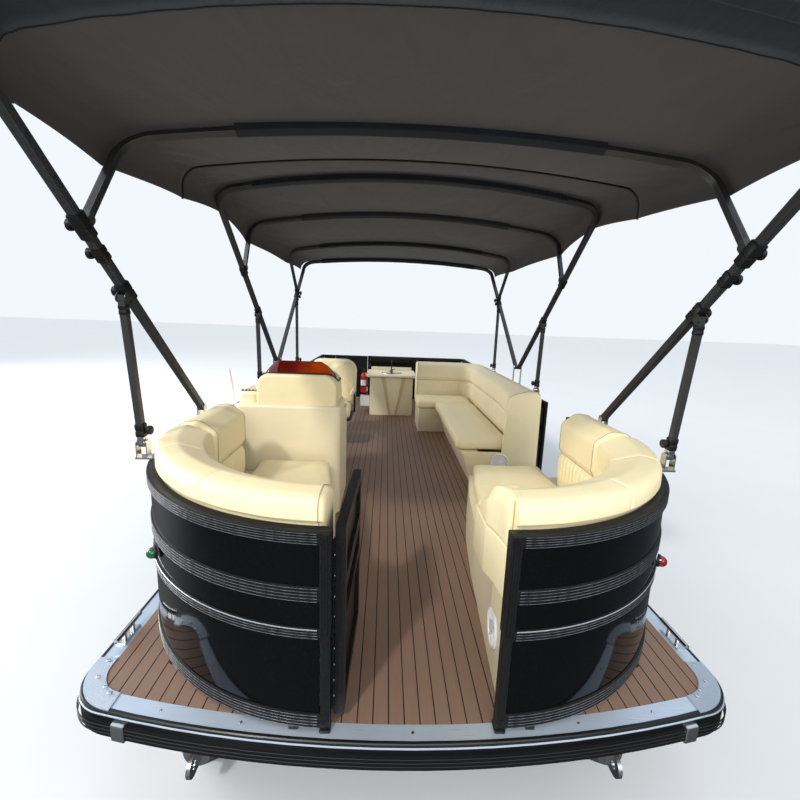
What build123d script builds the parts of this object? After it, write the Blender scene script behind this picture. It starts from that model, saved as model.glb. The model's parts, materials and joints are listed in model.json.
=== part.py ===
from build123d import *
from math import acos, asin, atan2, cos, degrees, hypot, pi, radians, sin, sqrt, tan
import os

os.makedirs("parts", exist_ok=True)

# Pontoon boat in millimetres: +X to port, +Y aft, +Z up.
# The origin is on the floor under the middle of the boat, which stands on its two keels.
# Stations are measured aft from the tip of the deck, and heights up from the deck.

# Driving dimensions of the hull
DECK_LENGTH = 7000.0
DECK_HALF_WIDTH = 1250.0
BOW_ARCH = 120.0            # how far the front edge of the deck falls back at its corners
BOW_CORNER_X = 1080.0       # where the arched front edge meets the rounded corners
FRONT_CORNER_R = 190.0
REAR_CORNER_R = 120.0
NOTCH_STATION = 6540.0      # front of the notch that the outboard tilts into
NOTCH_WIDTH = 780.0
BOARD_T = 20.0
TEAK_T = 6.0
CROSS_H = 75.0
CROSS_W = 44.0
CROSS_WALL = 6.0
CROSS_PITCH = 460.0
CROSS_FIRST = 420.0
CROSS_LAST = 6470.0
CROSS_OVERHANG = 60.0       # how far a crossmember stops short of the deck's side
RISER_H = 40.0
RISER_W = 50.0
RISER_SPREAD = 150.0        # a riser's distance from the middle of its tube
TUBE_D = 635.0
TUBE_X = 830.0
TUBE_TIP = 210.0
TUBE_END = 6900.0
KEEL_W = 34.0
KEEL_H = 25.0
EYE_R = 15.0
EYE_PLATE_T = 16.0

# The tube's nose: distance aft of its tip, radius, and drop of its top below the tube's top
NOSE_SECTIONS = ((0, 52, 118), (200, 168, 48), (520, 268, 10), (900, TUBE_D / 2, 0))

TUBE_R = TUBE_D / 2
TUBE_AXIS_Z = KEEL_H + TUBE_R
TUBE_TOP = KEEL_H + TUBE_D
RISER_TOP = TUBE_TOP + RISER_H
BOARD_BOTTOM = RISER_TOP + CROSS_H
BOARD_TOP = BOARD_BOTTOM + BOARD_T
DECK_TOP = BOARD_TOP + TEAK_T

# Driving dimensions of the outboard, in its own frame at the tilt axis, leg straight down
TRANSOM_STATION = 7030.0
TRANSOM_T = 60.0
TRANSOM_TOP = RISER_TOP + 20.0
POD_WIDTH = 560.0
POD_FRONT = 5450.0
POD_BOTTOM = 300.0
WELL_FLOOR = 590.0
PARKED_TILT = 62.0
TILT_RISE = 44.0            # the tilt tube's height over the transom
TILT_BACK = 20.0            # its distance forward of the transom's rear face
LEG_LENGTH = 1045.0         # from the tilt tube down to the tip of the skeg
PROP_DROP = 845.0
PROP_BACK = 385.0
PROP_R = 165.0
STEER_BACK = 132.0          # the steering axis aft of the tilt tube

TILT_Z = TRANSOM_TOP + TILT_RISE
TILT_STATION = TRANSOM_STATION - TILT_BACK
SKEG_BACK = STEER_BACK + 140
STERN_REACH = SKEG_BACK * cos(radians(PARKED_TILT)) + LEG_LENGTH * sin(radians(PARKED_TILT))

# Driving dimensions of the fences and gates
FENCE_X = 1216.0
FENCE_FRONT = 50.0
BOW_R = 940.0
RAIL_W = 38.0
POST_W = 38.0
GATE_POST_X = 304.0
BOW_FENCE_END = 1800.0
PORT_FENCE_START = 2350.0
STERN_FENCE = 6250.0
FENCE_JOINT = 4.0
PANEL_T = 3.0
PANEL_GAP = 0.5
# Rails: bottom above the deck, height, width
RAILS = ((12, 57, RAIL_W), (360, 40, RAIL_W), (495, 55, RAIL_W), (700, 45, 46))
RAIL_TOP = 745.0
PANEL_Z = (20.0, 735.0)
GATE_GAP = 6.0
SIDE_GATE_T = 22.0
BOW_GATE_OPEN = 88.0
STERN_GATE_X = (-1000.0, -440.0)

# Driving dimensions of the seats
SEAT_H = 420.0
CUSHION_T = 100.0
BACK_H = 840.0
BACK_T = 190.0
BACK_CLEAR = 5.0            # between a backrest and the fence's top rail
BASE_WALL = 14.0
SOFT_GAP = 0.5
LOUNGE_END = 1690.0
LOUNGE_BACK_END = 1400.0
BENCH_BACK_T = 200.0
BENCH_CLEAR = 42.5          # between the bench's backrest and the middle of the fence's rails
SEAT_SPLIT = 1000.0          # station where a bow lounge's corner seat meets its side seat
BENCH_START = 2250.0
BENCH_END = 4640.0
BENCH_SEAT_X = 480.0
BENCH_FOOT_X = 640.0
RETURN_DEPTH = 700.0
RETURN_X = 250.0

# Driving dimensions of the helm and the galley
CONSOLE_X = (-1165.0, -440.0)
CONSOLE_STATIONS = (1700.0, 2310.0)
CONSOLE_H = 790.0
CONSOLE_STEP = 2080.0       # aft of this station the console drops to a shelf behind the dash
CONSOLE_SHELF_H = 700.0
POD_X = (-1019.0, -471.0)
POD_H = 1000.0
WHEEL_R = 165.0
WHEEL_TILT = 28.0
HELM_SEAT_X = -725.0
HELM_SEAT_STATION = 3420.0
GALLEY_X = (-352.0, 275.0)
GALLEY_STATIONS = (4950.0, 5510.0)
GALLEY_H = 600.0
SINK_R = 140.0
SINK_DEPTH = 130.0

# Driving dimensions of the bimini top
TOP_TUBE = 32.0
TOP_BRANCH = 28.0
TOP_CORNER_R = 150.0
TOP_CORNER_TURN = 78.0
HINGE_1 = (1320.0, 850.0)   # station, height over the deck
HINGE_2 = (3120.0, 960.0)
PIVOT_OFFSET = 38.0
EAR_T = 5.0
EAR_R = 18.0
EAR_GAP = 1.0
PIN_R = 5.0
PIN_CLEARANCE = 0.05
CANVAS_T = 5.0
CANVAS_GAP = 3.0            # between the canvas and the corner of a tube
CANVAS_SKIRT = 70.0
CANVAS_JOINT = 1300.0       # station of the zip between the two canvases
CANVAS_POCKET = 45.0        # how far a canvas runs past its end bow
FRONT_LEAN = 136.8          # how far the foremost bow leans, in degrees up from aft
FRONT_TOP = 1970.0          # from the hinge to the crown of the foremost bow


def canvas_lift(angle, tube):
    """how far along a leaning bow's legs the canvas lies over the middle of its tube"""
    a = radians(angle)
    return (tube / 2 * (abs(sin(a)) + abs(cos(a))) + CANVAS_T / 2 + CANVAS_GAP) / sin(a)


FRONT_EDGE_TOP = FRONT_TOP + canvas_lift(FRONT_LEAN, TOP_TUBE)
CANVAS_REACH = FRONT_EDGE_TOP + CANVAS_T / 2
BOW_REACH = -(HINGE_1[0] - CANVAS_POCKET + CANVAS_REACH * cos(radians(FRONT_LEAN)))
OVERALL = BOW_REACH + TILT_STATION + STERN_REACH
BOW_Y = -OVERALL / 2 + BOW_REACH


def at(station):
    """Y of a station measured aft from the tip of the deck"""
    return BOW_Y + station


def up(height):
    """Z of a height measured from the deck"""
    return DECK_TOP + height


def level(z):
    """a horizontal work plane"""
    return Plane.XY.offset(z)


def lengthwise(x):
    """a work plane across the boat at x, with local x aft and local y up"""
    return Plane(origin=(x, 0, 0), x_dir=(0, 1, 0), z_dir=(1, 0, 0))


def athwart(y):
    """a work plane along the boat at y, with local x to port and local y up"""
    return Plane(origin=(0, y, 0), x_dir=(1, 0, 0), z_dir=(0, -1, 0))


def block(x0, x1, y0, y1, z0, z1, mode=Mode.ADD):
    """a box between two corners, added to the part in hand"""
    with Locations(((x0 + x1) / 2, (y0 + y1) / 2, (z0 + z1) / 2)):
        Box(abs(x1 - x0), abs(y1 - y0), abs(z1 - z0), mode=mode)


def save(builder, name):
    builder.part.label = name
    export_step(builder.part, f"parts/{name}.step")


def deck_outline(grow):
    """the plan of the deck with its notch, moved out by grow"""
    side = DECK_HALF_WIDTH
    arch_r = (BOW_CORNER_X**2 + BOW_ARCH**2) / (2 * BOW_ARCH)
    side_y = arch_r - sqrt(arch_r**2 - side**2)
    with BuildSketch(mode=Mode.PRIVATE) as plan:
        with BuildLine():
            ThreePointArc((-side, at(side_y)), (0, at(0)), (side, at(side_y)))
            Polyline((side, at(side_y)), (side, at(DECK_LENGTH)), (-side, at(DECK_LENGTH)), (-side, at(side_y)))
        make_face()
        fillet(plan.vertices().group_by(Axis.Y)[0], FRONT_CORNER_R)
        fillet(plan.vertices().group_by(Axis.Y)[-1], REAR_CORNER_R)
        with Locations((0, at((NOTCH_STATION + DECK_LENGTH) / 2) + 100)):
            Rectangle(NOTCH_WIDTH, DECK_LENGTH - NOTCH_STATION + 200, mode=Mode.SUBTRACT)
        if grow:
            offset(amount=grow)
    return plan.sketch


# Hull

for side, x in (("port", TUBE_X), ("starboard", -TUBE_X)):
    with BuildPart() as pontoon:
        for s, r, drop in NOSE_SECTIONS:
            with BuildSketch(athwart(at(TUBE_TIP + s))):
                with Locations((x, TUBE_TOP - drop - r)):
                    Circle(r)
        loft()
        nose_end = TUBE_TIP + NOSE_SECTIONS[-1][0]
        with BuildSketch(athwart(at(nose_end))):
            with Locations((x, TUBE_AXIS_Z)):
                Circle(TUBE_R)
        extrude(amount=-(TUBE_END - nose_end))
        fillet(pontoon.edges().group_by(Axis.Y)[-1], 25)
        block(x - KEEL_W / 2, x + KEEL_W / 2, at(nose_end - 60), at(TUBE_END - 40), 0, TUBE_AXIS_Z)
        # the eye plate at the nose takes a bow line or a winch hook
        tip_r, tip_drop = NOSE_SECTIONS[0][1:]
        eye_z = TUBE_TOP - tip_drop - tip_r
        with BuildSketch(lengthwise(x - EYE_PLATE_T / 2)):
            with Locations((at(TUBE_TIP + 40), eye_z)):
                Rectangle(160, 84)
            with Locations((at(TUBE_TIP - 40), eye_z)):
                Circle(42)
                Circle(EYE_R, mode=Mode.SUBTRACT)
        extrude(amount=EYE_PLATE_T)
        # the stern plate carries the tie-down eye
        with BuildSketch(lengthwise(x - EYE_PLATE_T / 2)):
            with Locations((at(TUBE_END + 10), TUBE_AXIS_Z + 120)):
                Rectangle(80, 84)
            with Locations((at(TUBE_END + 50), TUBE_AXIS_Z + 120)):
                Circle(42)
                Circle(EYE_R, mode=Mode.SUBTRACT)
        extrude(amount=EYE_PLATE_T)
    save(pontoon, f"pontoon_{side}")

with BuildPart() as underframe:
    count = round((CROSS_LAST - CROSS_FIRST) / CROSS_PITCH) + 1
    pitch = (CROSS_LAST - CROSS_FIRST) / (count - 1)
    reach = DECK_HALF_WIDTH - CROSS_OVERHANG
    for i in range(count):
        y = at(CROSS_FIRST + i * pitch)
        block(-reach, reach, y, y + CROSS_W, RISER_TOP, BOARD_BOTTOM)
        block(-reach, reach, y + CROSS_WALL, y + CROSS_W, RISER_TOP + CROSS_WALL, BOARD_BOTTOM - CROSS_WALL,
              mode=Mode.SUBTRACT)
    for x in (TUBE_X, -TUBE_X):
        wing = (NOTCH_WIDTH / 2 + 30, reach)
        block(*(w if x > 0 else -w for w in wing), at(DECK_LENGTH - 130), at(DECK_LENGTH - 130) + CROSS_W,
              RISER_TOP, BOARD_BOTTOM)
        with BuildSketch(athwart(at(CROSS_FIRST))):
            with Locations((x - RISER_SPREAD, TUBE_TOP - RISER_H / 2), (x + RISER_SPREAD, TUBE_TOP - RISER_H / 2)):
                Rectangle(RISER_W, 3 * RISER_H)
            with Locations((x, TUBE_AXIS_Z)):
                Circle(TUBE_R + 0.2, mode=Mode.SUBTRACT)
        extrude(amount=-(DECK_LENGTH - 120 - CROSS_FIRST))
save(underframe, "underframe")

with BuildPart() as motor_pod:
    with BuildSketch(lengthwise(-POD_WIDTH / 2)):
        with BuildLine():
            Polyline((at(POD_FRONT), RISER_TOP), (at(POD_FRONT), RISER_TOP - 90), (at(POD_FRONT + 520), POD_BOTTOM),
                     (at(TRANSOM_STATION), POD_BOTTOM - 20), (at(TRANSOM_STATION), TRANSOM_TOP),
                     (at(TRANSOM_STATION - TRANSOM_T), TRANSOM_TOP), (at(TRANSOM_STATION - TRANSOM_T), WELL_FLOOR),
                     (at(NOTCH_STATION), WELL_FLOOR), (at(NOTCH_STATION), RISER_TOP), close=True)
        make_face()
    extrude(amount=POD_WIDTH)
    chamfer(motor_pod.faces().sort_by(Axis.Z)[:2].edges().filter_by(Axis.X, reverse=True), 60)
save(motor_pod, "motor_pod")

with BuildPart() as deck_board:
    with BuildSketch(level(BOARD_BOTTOM)):
        add(deck_outline(0))
    extrude(amount=BOARD_T)
save(deck_board, "deck_board")

STRIP_W = 60.0              # width of the aluminium strip round the deck
SKIRT_T = 12.0
SKIRT_H = 96.0
RUB_T = 13.0
RUB_H = 58.0
RUB_DROP = 34.0
CASTING_RISE = 5.0
PLANK_PITCH = 56.0
CAULK_W = 4.0
CAULK_DEPTH = 2.0

with BuildPart() as teak_floor:
    with BuildSketch(level(BOARD_TOP)):
        add(deck_outline(-STRIP_W - 0.5))
    extrude(amount=TEAK_T)
    planks = int(2 * DECK_HALF_WIDTH / PLANK_PITCH)
    with BuildSketch(level(DECK_TOP)):
        with GridLocations(PLANK_PITCH, 0, planks, 1):
            Rectangle(CAULK_W, 2 * OVERALL)
    extrude(amount=-CAULK_DEPTH, mode=Mode.SUBTRACT)
save(teak_floor, "teak_floor")

with BuildPart() as deck_edge:
    with BuildSketch(level(DECK_TOP - SKIRT_H)):
        add(deck_outline(SKIRT_T))
        add(deck_outline(0.3), mode=Mode.SUBTRACT)
    extrude(amount=SKIRT_H)
    with BuildSketch(level(BOARD_TOP)):
        add(deck_outline(SKIRT_T))
        add(deck_outline(-STRIP_W), mode=Mode.SUBTRACT)
    extrude(amount=TEAK_T)
    # the corner castings stand proud of the strip
    with BuildSketch(level(DECK_TOP)):
        add(deck_outline(SKIRT_T))
        add(deck_outline(-STRIP_W), mode=Mode.SUBTRACT)
        with Locations((0, at(DECK_LENGTH / 2))):
            Rectangle(2 * BOW_CORNER_X, DECK_LENGTH + 400, mode=Mode.SUBTRACT)
        with Locations((0, at(350 + DECK_LENGTH / 2))):
            Rectangle(3 * DECK_HALF_WIDTH, DECK_LENGTH, mode=Mode.SUBTRACT)
    extrude(amount=CASTING_RISE)
save(deck_edge, "deck_edge")

with BuildPart() as rub_rail:
    with BuildSketch(level(DECK_TOP - RUB_DROP - RUB_H)):
        add(deck_outline(SKIRT_T + RUB_T))
        add(deck_outline(SKIRT_T + 0.3), mode=Mode.SUBTRACT)
    extrude(amount=RUB_H)
    block(-NOTCH_WIDTH / 2, NOTCH_WIDTH / 2, at(NOTCH_STATION - 60), at(DECK_LENGTH + 60), 0, DECK_TOP,
          mode=Mode.SUBTRACT)
save(rub_rail, "rub_rail")

# Cleats: x and station of each
CLEATS = ((1222, 480), (-1222, 480), (1222, 6720), (-1222, 6720))
with BuildPart() as cleats:
    for x, station in CLEATS:
        y = at(station)
        block(x - 18, x + 18, y - 60, y + 60, DECK_TOP, DECK_TOP + 8)
        for end in (-30, 30):
            with Locations((x, y + end, DECK_TOP + 22)):
                Cylinder(9, 32)
        with Locations((x, y, DECK_TOP + 40)):
            Cylinder(10, 180, rotation=(90, 0, 0))
save(cleats, "cleats")


# Fences

BOW_CENTRE = (FENCE_X - BOW_R, FENCE_FRONT + BOW_R)
POST_ANGLE = degrees(asin((GATE_POST_X - BOW_CENTRE[0]) / BOW_R)) - 90


def bow_curve(side, end_station, radius=BOW_R):
    """the plan of a bow fence: the arc from the gate post, then straight along the side"""
    cx, cy = BOW_CENTRE[0], at(BOW_CENTRE[1])
    start = POST_ANGLE - degrees((POST_W / 2) / BOW_R)
    first = (side * (cx + radius * cos(radians(start))), cy + radius * sin(radians(start)))
    middle = (side * (cx + radius * cos(radians(start / 2))), cy + radius * sin(radians(start / 2)))
    tangent_point = (side * (cx + radius), cy)
    ThreePointArc(first, middle, tangent_point)
    Line(tangent_point, (side * (cx + radius), at(end_station)))


def post(x, y, foot_x=6.0, foot_y=0.0):
    """a fence post with its foot on the deck"""
    half = POST_W / 2
    block(x - half, x + half, y - half, y + half, up(0), up(RAIL_TOP))
    block(x - half - foot_x, x + half + foot_x, y - half - foot_y, y + half + foot_y, up(0), up(10))


def middle_post(side, station):
    """a post behind a fence's panels"""
    x0, x1 = sorted((side * (FENCE_X - POST_W / 2), side * (FENCE_X + PANEL_OUT - PANEL_T / 2 - PANEL_GAP)))
    block(x0, x1, at(station) - POST_W / 2, at(station) + POST_W / 2, up(0), up(RAIL_TOP))
    block(x0 - 6, x1 + 6, at(station) - POST_W / 2, at(station) + POST_W / 2, up(0), up(10))


# A panel's middle lies this far out from the middle of the rails
PANEL_OUT = RAIL_W / 2 - 9

for side, name in ((1, "port"), (-1, "starboard")):
    with BuildPart() as bow_fence:
        for z, height, width in RAILS:
            with BuildSketch(level(up(z))):
                with BuildLine():
                    bow_curve(side, BOW_FENCE_END)
                trace(line_width=width)
            extrude(amount=height)
        post(side * GATE_POST_X, at(FENCE_FRONT), 0, 6)
        middle_post(side, BOW_CENTRE[1])
        post(side * FENCE_X, at(BOW_FENCE_END) - POST_W / 2)
    save(bow_fence, f"bow_fence_{name}")

# Side fences: name, side, first station, stations of the posts between
SIDE_FENCES = (
    ("port", 1, PORT_FENCE_START, (3120, 4000, 5100)),
    ("starboard", -1, BOW_FENCE_END + FENCE_JOINT, (2500, 3120, 4000, 5100)),
)
for name, side, start, middles in SIDE_FENCES:
    with BuildPart() as side_fence:
        for z, height, width in RAILS:
            x = side * FENCE_X
            block(x - width / 2, x + width / 2, at(start), at(STERN_FENCE), up(z), up(z + height))
        for station in (start + POST_W / 2, STERN_FENCE - POST_W / 2):
            post(side * FENCE_X, at(station))
        for station in middles:
            middle_post(side, station)
    save(side_fence, f"side_fence_{name}")

# Stern fence: the two stretches beside its gate, from x to x
STERN_REACH_X = FENCE_X - RAIL_W / 2 - 6 - FENCE_JOINT
STERN_RUNS = ((-STERN_REACH_X, STERN_GATE_X[0]), (STERN_GATE_X[1], STERN_REACH_X))
STERN_Y = at(STERN_FENCE) - RAIL_W / 2
with BuildPart() as stern_fence:
    for x0, x1 in STERN_RUNS:
        for z, height, width in RAILS:
            block(x0, x1, STERN_Y - width / 2, STERN_Y + width / 2, up(z), up(z + height))
        for x in (x0 + POST_W / 2, x1 - POST_W / 2):
            post(x, STERN_Y, 0, 6)
save(stern_fence, "stern_fence")

# The panels close the bands between the rails
PANEL_BANDS = tuple((z + h + PANEL_GAP, above - PANEL_GAP) for (z, h, _), (above, _, _) in zip(RAILS, RAILS[1:]))
PANEL_END = POST_W + PANEL_GAP
with BuildPart() as fence_panels:
    for z0, z1 in PANEL_BANDS:
        for side in (1, -1):
            with BuildSketch(level(up(z0))):
                with BuildLine():
                    bow_curve(side, BOW_FENCE_END - PANEL_END, BOW_R + PANEL_OUT)
                trace(line_width=PANEL_T)
                with Locations((side * GATE_POST_X, at(FENCE_FRONT))):
                    Rectangle(POST_W + 2 * PANEL_GAP, POST_W + 20, mode=Mode.SUBTRACT)
            extrude(amount=z1 - z0)
        for name, side, start, middles in SIDE_FENCES:
            x = side * (FENCE_X + PANEL_OUT)
            block(x - PANEL_T / 2, x + PANEL_T / 2, at(start + PANEL_END), at(STERN_FENCE - PANEL_END), up(z0), up(z1))
        for x0, x1 in STERN_RUNS:
            y = STERN_Y + PANEL_OUT
            block(x0 + PANEL_END, x1 - PANEL_END, y - PANEL_T / 2, y + PANEL_T / 2, up(z0), up(z1))
save(fence_panels, "fence_panels")


# Gates

GATE_RISE = 25.0            # a gate's bottom rail over the deck


def gate(hinge, direction, length, thickness, start, aside):
    """a gate that leaves its hinge in a direction, beginning at start and lying aside from the hinge line"""
    a = radians(direction)
    plane = Plane(origin=(*hinge, 0), x_dir=(cos(a), sin(a), 0), z_dir=(0, 0, 1))
    y0, y1 = aside - thickness / 2, aside + thickness / 2
    with BuildPart(plane, mode=Mode.PRIVATE) as leaf:
        for x in (start, start + length - POST_W):
            block(x, x + POST_W, y0, y1, up(GATE_RISE), up(RAIL_TOP))
        for z, height, width in RAILS:
            block(start, start + length, y0, y1, up(max(z, GATE_RISE)), up(z + height))
        block(start + 10, start + length - 10, aside - PANEL_T / 2, aside + PANEL_T / 2, up(GATE_RISE + 5),
              up(RAIL_TOP - 5))
    return leaf.part


POST_INNER = GATE_POST_X - POST_W / 2
BOW_GATE_HINGE = (-POST_INNER + RAIL_W / 2 + 5, at(FENCE_FRONT + POST_W / 2 - 4))
BOW_GATE_START = 14.0
BOW_GATE_LENGTH = POST_INNER - GATE_GAP - BOW_GATE_HINGE[0] - BOW_GATE_START
SIDE_GATE_HINGE = (FENCE_X + RAIL_W / 2 + 7, at(PORT_FENCE_START) - 3)
SIDE_GATE_ASIDE = 6 + SIDE_GATE_T / 2
SIDE_GATE_LENGTH = PORT_FENCE_START - BOW_FENCE_END - 3 - 2 * GATE_GAP - 2
STERN_GATE_HINGE = (STERN_GATE_X[0] + 3, STERN_Y + RAIL_W / 2 + 4)
STERN_GATE_LENGTH = STERN_GATE_X[1] - STERN_GATE_X[0] - 2 * GATE_GAP

with BuildPart() as bow_gate:
    add(gate(BOW_GATE_HINGE, BOW_GATE_OPEN, BOW_GATE_LENGTH, RAIL_W - 4, BOW_GATE_START, 0))
save(bow_gate, "bow_gate")

with BuildPart() as side_gate:
    add(gate(SIDE_GATE_HINGE, 90, SIDE_GATE_LENGTH, SIDE_GATE_T, GATE_GAP, -SIDE_GATE_ASIDE))
save(side_gate, "side_gate")

with BuildPart() as stern_gate:
    add(gate(STERN_GATE_HINGE, 0, STERN_GATE_LENGTH, RAIL_W - 4, GATE_GAP / 2, STERN_Y - STERN_GATE_HINGE[1]))
save(stern_gate, "stern_gate")


# Seats

TOP_RAIL_W = RAILS[-1][2]
BACK_OUT = BOW_R - TOP_RAIL_W / 2 - BACK_CLEAR
BACK_IN = BACK_OUT - BACK_T
BACK_OUT_X = BOW_CENTRE[0] + BACK_OUT
BACK_IN_X = BOW_CENTRE[0] + BACK_IN
BASE_TOP = SEAT_H - CUSHION_T - SOFT_GAP
# The aisle side of a bow lounge at the floor: x, station
AISLE_LINE = ((320, 90), (382, 950), (425, 1350), (488, LOUNGE_END))


def lounge_plan(side, radius, aisle_shift=0.0, end=LOUNGE_END):
    """the plan of a bow lounge: inside an arc of the fence's centre and outside the aisle line"""
    cx, cy = BOW_CENTRE[0], at(BOW_CENTRE[1])
    line = [(side * (x + aisle_shift), at(station)) for x, station in AISLE_LINE[1:-1]]
    first_x = AISLE_LINE[0][0] + aisle_shift
    start = degrees(acos((first_x - cx) / radius))
    first = (side * first_x, cy - radius * sin(radians(start)))
    half = (side * (cx + radius * cos(radians(start / 2))), cy - radius * sin(radians(start / 2)))
    outer = (side * (cx + radius), cy)
    last_x = side * (AISLE_LINE[-1][0] + aisle_shift)
    ThreePointArc(first, half, outer)
    Polyline(outer, (outer[0], at(end)), (last_x, at(end)), *reversed(line), first)


for side, name in ((1, "port"), (-1, "starboard")):
    with BuildPart() as base:
        with BuildSketch(level(up(0.5))):
            with BuildLine():
                lounge_plan(side, BACK_OUT)
            make_face()
        extrude(amount=BASE_TOP)
        # storage under the seat
        with BuildSketch(level(up(BASE_WALL))):
            with BuildLine():
                lounge_plan(side, BACK_IN - BASE_WALL, 150, LOUNGE_END - BASE_WALL - 20)
            make_face()
        extrude(amount=BASE_TOP, mode=Mode.SUBTRACT)
    save(base, f"bow_lounge_base_{name}")

    # the seat is a fixed cushion in the corner and a lid over the storage along the side
    for part_name, first, last in (("corner", -100, SEAT_SPLIT - 3), ("side", SEAT_SPLIT + 3, LOUNGE_END + 100)):
        with BuildPart() as seat:
            with BuildSketch(level(up(SEAT_H - CUSHION_T))):
                with BuildLine():
                    lounge_plan(side, BACK_IN - 6, 60, LOUNGE_END - 5)
                make_face()
                with Locations((0, (at(first) + at(last)) / 2)):
                    Rectangle(3000, last - first, mode=Mode.INTERSECT)
            extrude(amount=CUSHION_T)
        save(seat, f"bow_{part_name}_seat_{name}")

    with BuildPart() as back:
        with BuildSketch(level(up(BASE_TOP + 2 * SOFT_GAP))):
            with BuildLine():
                lounge_plan(side, BACK_OUT, -10, LOUNGE_BACK_END)
            make_face()
            with BuildLine():
                lounge_plan(side, BACK_IN, -200, LOUNGE_BACK_END + 100)
            make_face(mode=Mode.SUBTRACT)
        extrude(amount=BACK_H - BASE_TOP)
        fillet(back.faces().sort_by(Axis.Z)[-1].edges(), 35)
    save(back, f"bow_lounge_back_{name}")

BENCH_BACK_X = FENCE_X - BENCH_CLEAR
BENCH_IN_X = BENCH_BACK_X - BENCH_BACK_T
RETURN_BACK_X = 278.0
# The backrest's wing at the bench's near end: its inner face at three stations, and its lowest height
WING = ((885, BENCH_START), (948, 2563), (BENCH_IN_X, 3000))
WING_Z = 575.0

with BuildPart() as bench_base:
    with BuildSketch(athwart(at(BENCH_START))):
        with BuildLine():
            Polyline((BENCH_FOOT_X, up(0.5)), (BENCH_SEAT_X + 50, up(BASE_TOP)), (BENCH_BACK_X, up(BASE_TOP)),
                     (BENCH_BACK_X, up(0.5)), close=True)
        make_face()
    extrude(amount=-(BENCH_END - BENCH_START))
    with BuildSketch(lengthwise(RETURN_X + 50)):
        with BuildLine():
            Polyline((at(BENCH_END - RETURN_DEPTH + 140), up(0.5)), (at(BENCH_END - RETURN_DEPTH + 30), up(BASE_TOP)),
                     (at(BENCH_END), up(BASE_TOP)), (at(BENCH_END), up(0.5)), close=True)
        make_face()
    extrude(amount=BENCH_BACK_X - RETURN_X - 50)
    block(BENCH_FOOT_X + BASE_WALL + 20, BENCH_IN_X - 20, at(BENCH_START + BASE_WALL),
          at(BENCH_END - RETURN_DEPTH - BASE_WALL), up(BASE_WALL), up(BASE_TOP) + 10, mode=Mode.SUBTRACT)
save(bench_base, "main_lounge_base")

with BuildPart() as bench_seat:
    block(BENCH_SEAT_X, BENCH_IN_X - 6, at(BENCH_START + 5), at(BENCH_END - RETURN_DEPTH - 3), up(SEAT_H - CUSHION_T),
          up(SEAT_H))
    fillet(bench_seat.edges().filter_by(Axis.Z), 30)
save(bench_seat, "main_lounge_seat")

with BuildPart() as return_seat:
    block(RETURN_X, BENCH_IN_X - 6, at(BENCH_END - RETURN_DEPTH + 3), at(BENCH_END - BACK_T - 6), up(SEAT_H - CUSHION_T),
          up(SEAT_H))
    outer = return_seat.edges().filter_by(Axis.Z).sort_by_distance((BENCH_IN_X, at(BENCH_END - BACK_T), up(370)))
    fillet(outer[0], 150)
    fillet(outer[1:], 30)
save(return_seat, "return_seat")

with BuildPart() as bench_back:
    with BuildSketch(level(up(BASE_TOP + 2 * SOFT_GAP))):
        with BuildLine():
            Polyline((BENCH_IN_X, at(BENCH_START)), (BENCH_BACK_X, at(BENCH_START)), (BENCH_BACK_X, at(BENCH_END)),
                     (RETURN_BACK_X, at(BENCH_END)), (RETURN_BACK_X, at(BENCH_END - BACK_T)),
                     (BENCH_IN_X, at(BENCH_END - BACK_T)),
                     close=True)
        make_face()
    extrude(amount=BACK_H - BASE_TOP)
    fillet(bench_back.edges().filter_by(Axis.Z).sort_by_distance((BENCH_BACK_X, at(BENCH_END), up(500)))[0], 320)
    fillet(bench_back.edges().filter_by(Axis.Z).sort_by_distance((BENCH_IN_X, at(BENCH_END - BACK_T), up(500)))[0], 140)
    with BuildSketch(level(up(WING_Z))):
        with BuildLine():
            Spline(*((x, at(station)) for x, station in WING), tangents=((0.25, 1), (0, 1)))
            Polyline((BENCH_IN_X, at(WING[-1][1])), (BENCH_IN_X + 60, at(WING[-1][1])),
                     (BENCH_IN_X + 60, at(BENCH_START)), (WING[0][0], at(BENCH_START)))
        make_face()
    extrude(amount=up(BACK_H + SOFT_GAP * 2) - up(WING_Z))
    fillet(bench_back.faces().sort_by(Axis.Z)[-1].edges(), 35)
save(bench_back, "main_lounge_back")


# Helm and galley

CONSOLE_MID_X = (CONSOLE_X[0] + CONSOLE_X[1]) / 2
CONSOLE_W = CONSOLE_X[1] - CONSOLE_X[0]
# A raised box beside the dash: station from, to, and its height over the console
SIDE_BOX = (1765.0, 2060.0, 78.0)
with BuildPart() as console:
    with BuildSketch(level(up(0.5))) as body:
        with Locations((CONSOLE_MID_X, (at(CONSOLE_STATIONS[0]) + at(CONSOLE_STATIONS[1])) / 2)):
            RectangleRounded(CONSOLE_W, CONSOLE_STATIONS[1] - CONSOLE_STATIONS[0], 60)
    extrude(amount=CONSOLE_SHELF_H - 0.5)
    with BuildSketch(level(up(CONSOLE_SHELF_H - 20))) as front:
        with Locations((CONSOLE_MID_X, (at(CONSOLE_STATIONS[0]) + at(CONSOLE_STEP)) / 2)):
            Rectangle(CONSOLE_W, CONSOLE_STEP - CONSOLE_STATIONS[0])
        fillet(front.vertices().group_by(Axis.Y)[0], 60)
    extrude(amount=CONSOLE_H - CONSOLE_SHELF_H + 20)
    fillet(console.faces().sort_by(Axis.Z)[-1].edges(), 20)
    box_x = (CONSOLE_X[0] + 12, POD_X[0] - 8)
    with BuildSketch(level(up(CONSOLE_H - 10))):
        with Locations(((box_x[0] + box_x[1]) / 2, (at(SIDE_BOX[0]) + at(SIDE_BOX[1])) / 2)):
            RectangleRounded(box_x[1] - box_x[0], SIDE_BOX[1] - SIDE_BOX[0], 40)
    extrude(amount=SIDE_BOX[2] + 10)
    fillet(console.faces().sort_by(Axis.Z)[-1].edges(), 22)
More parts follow.
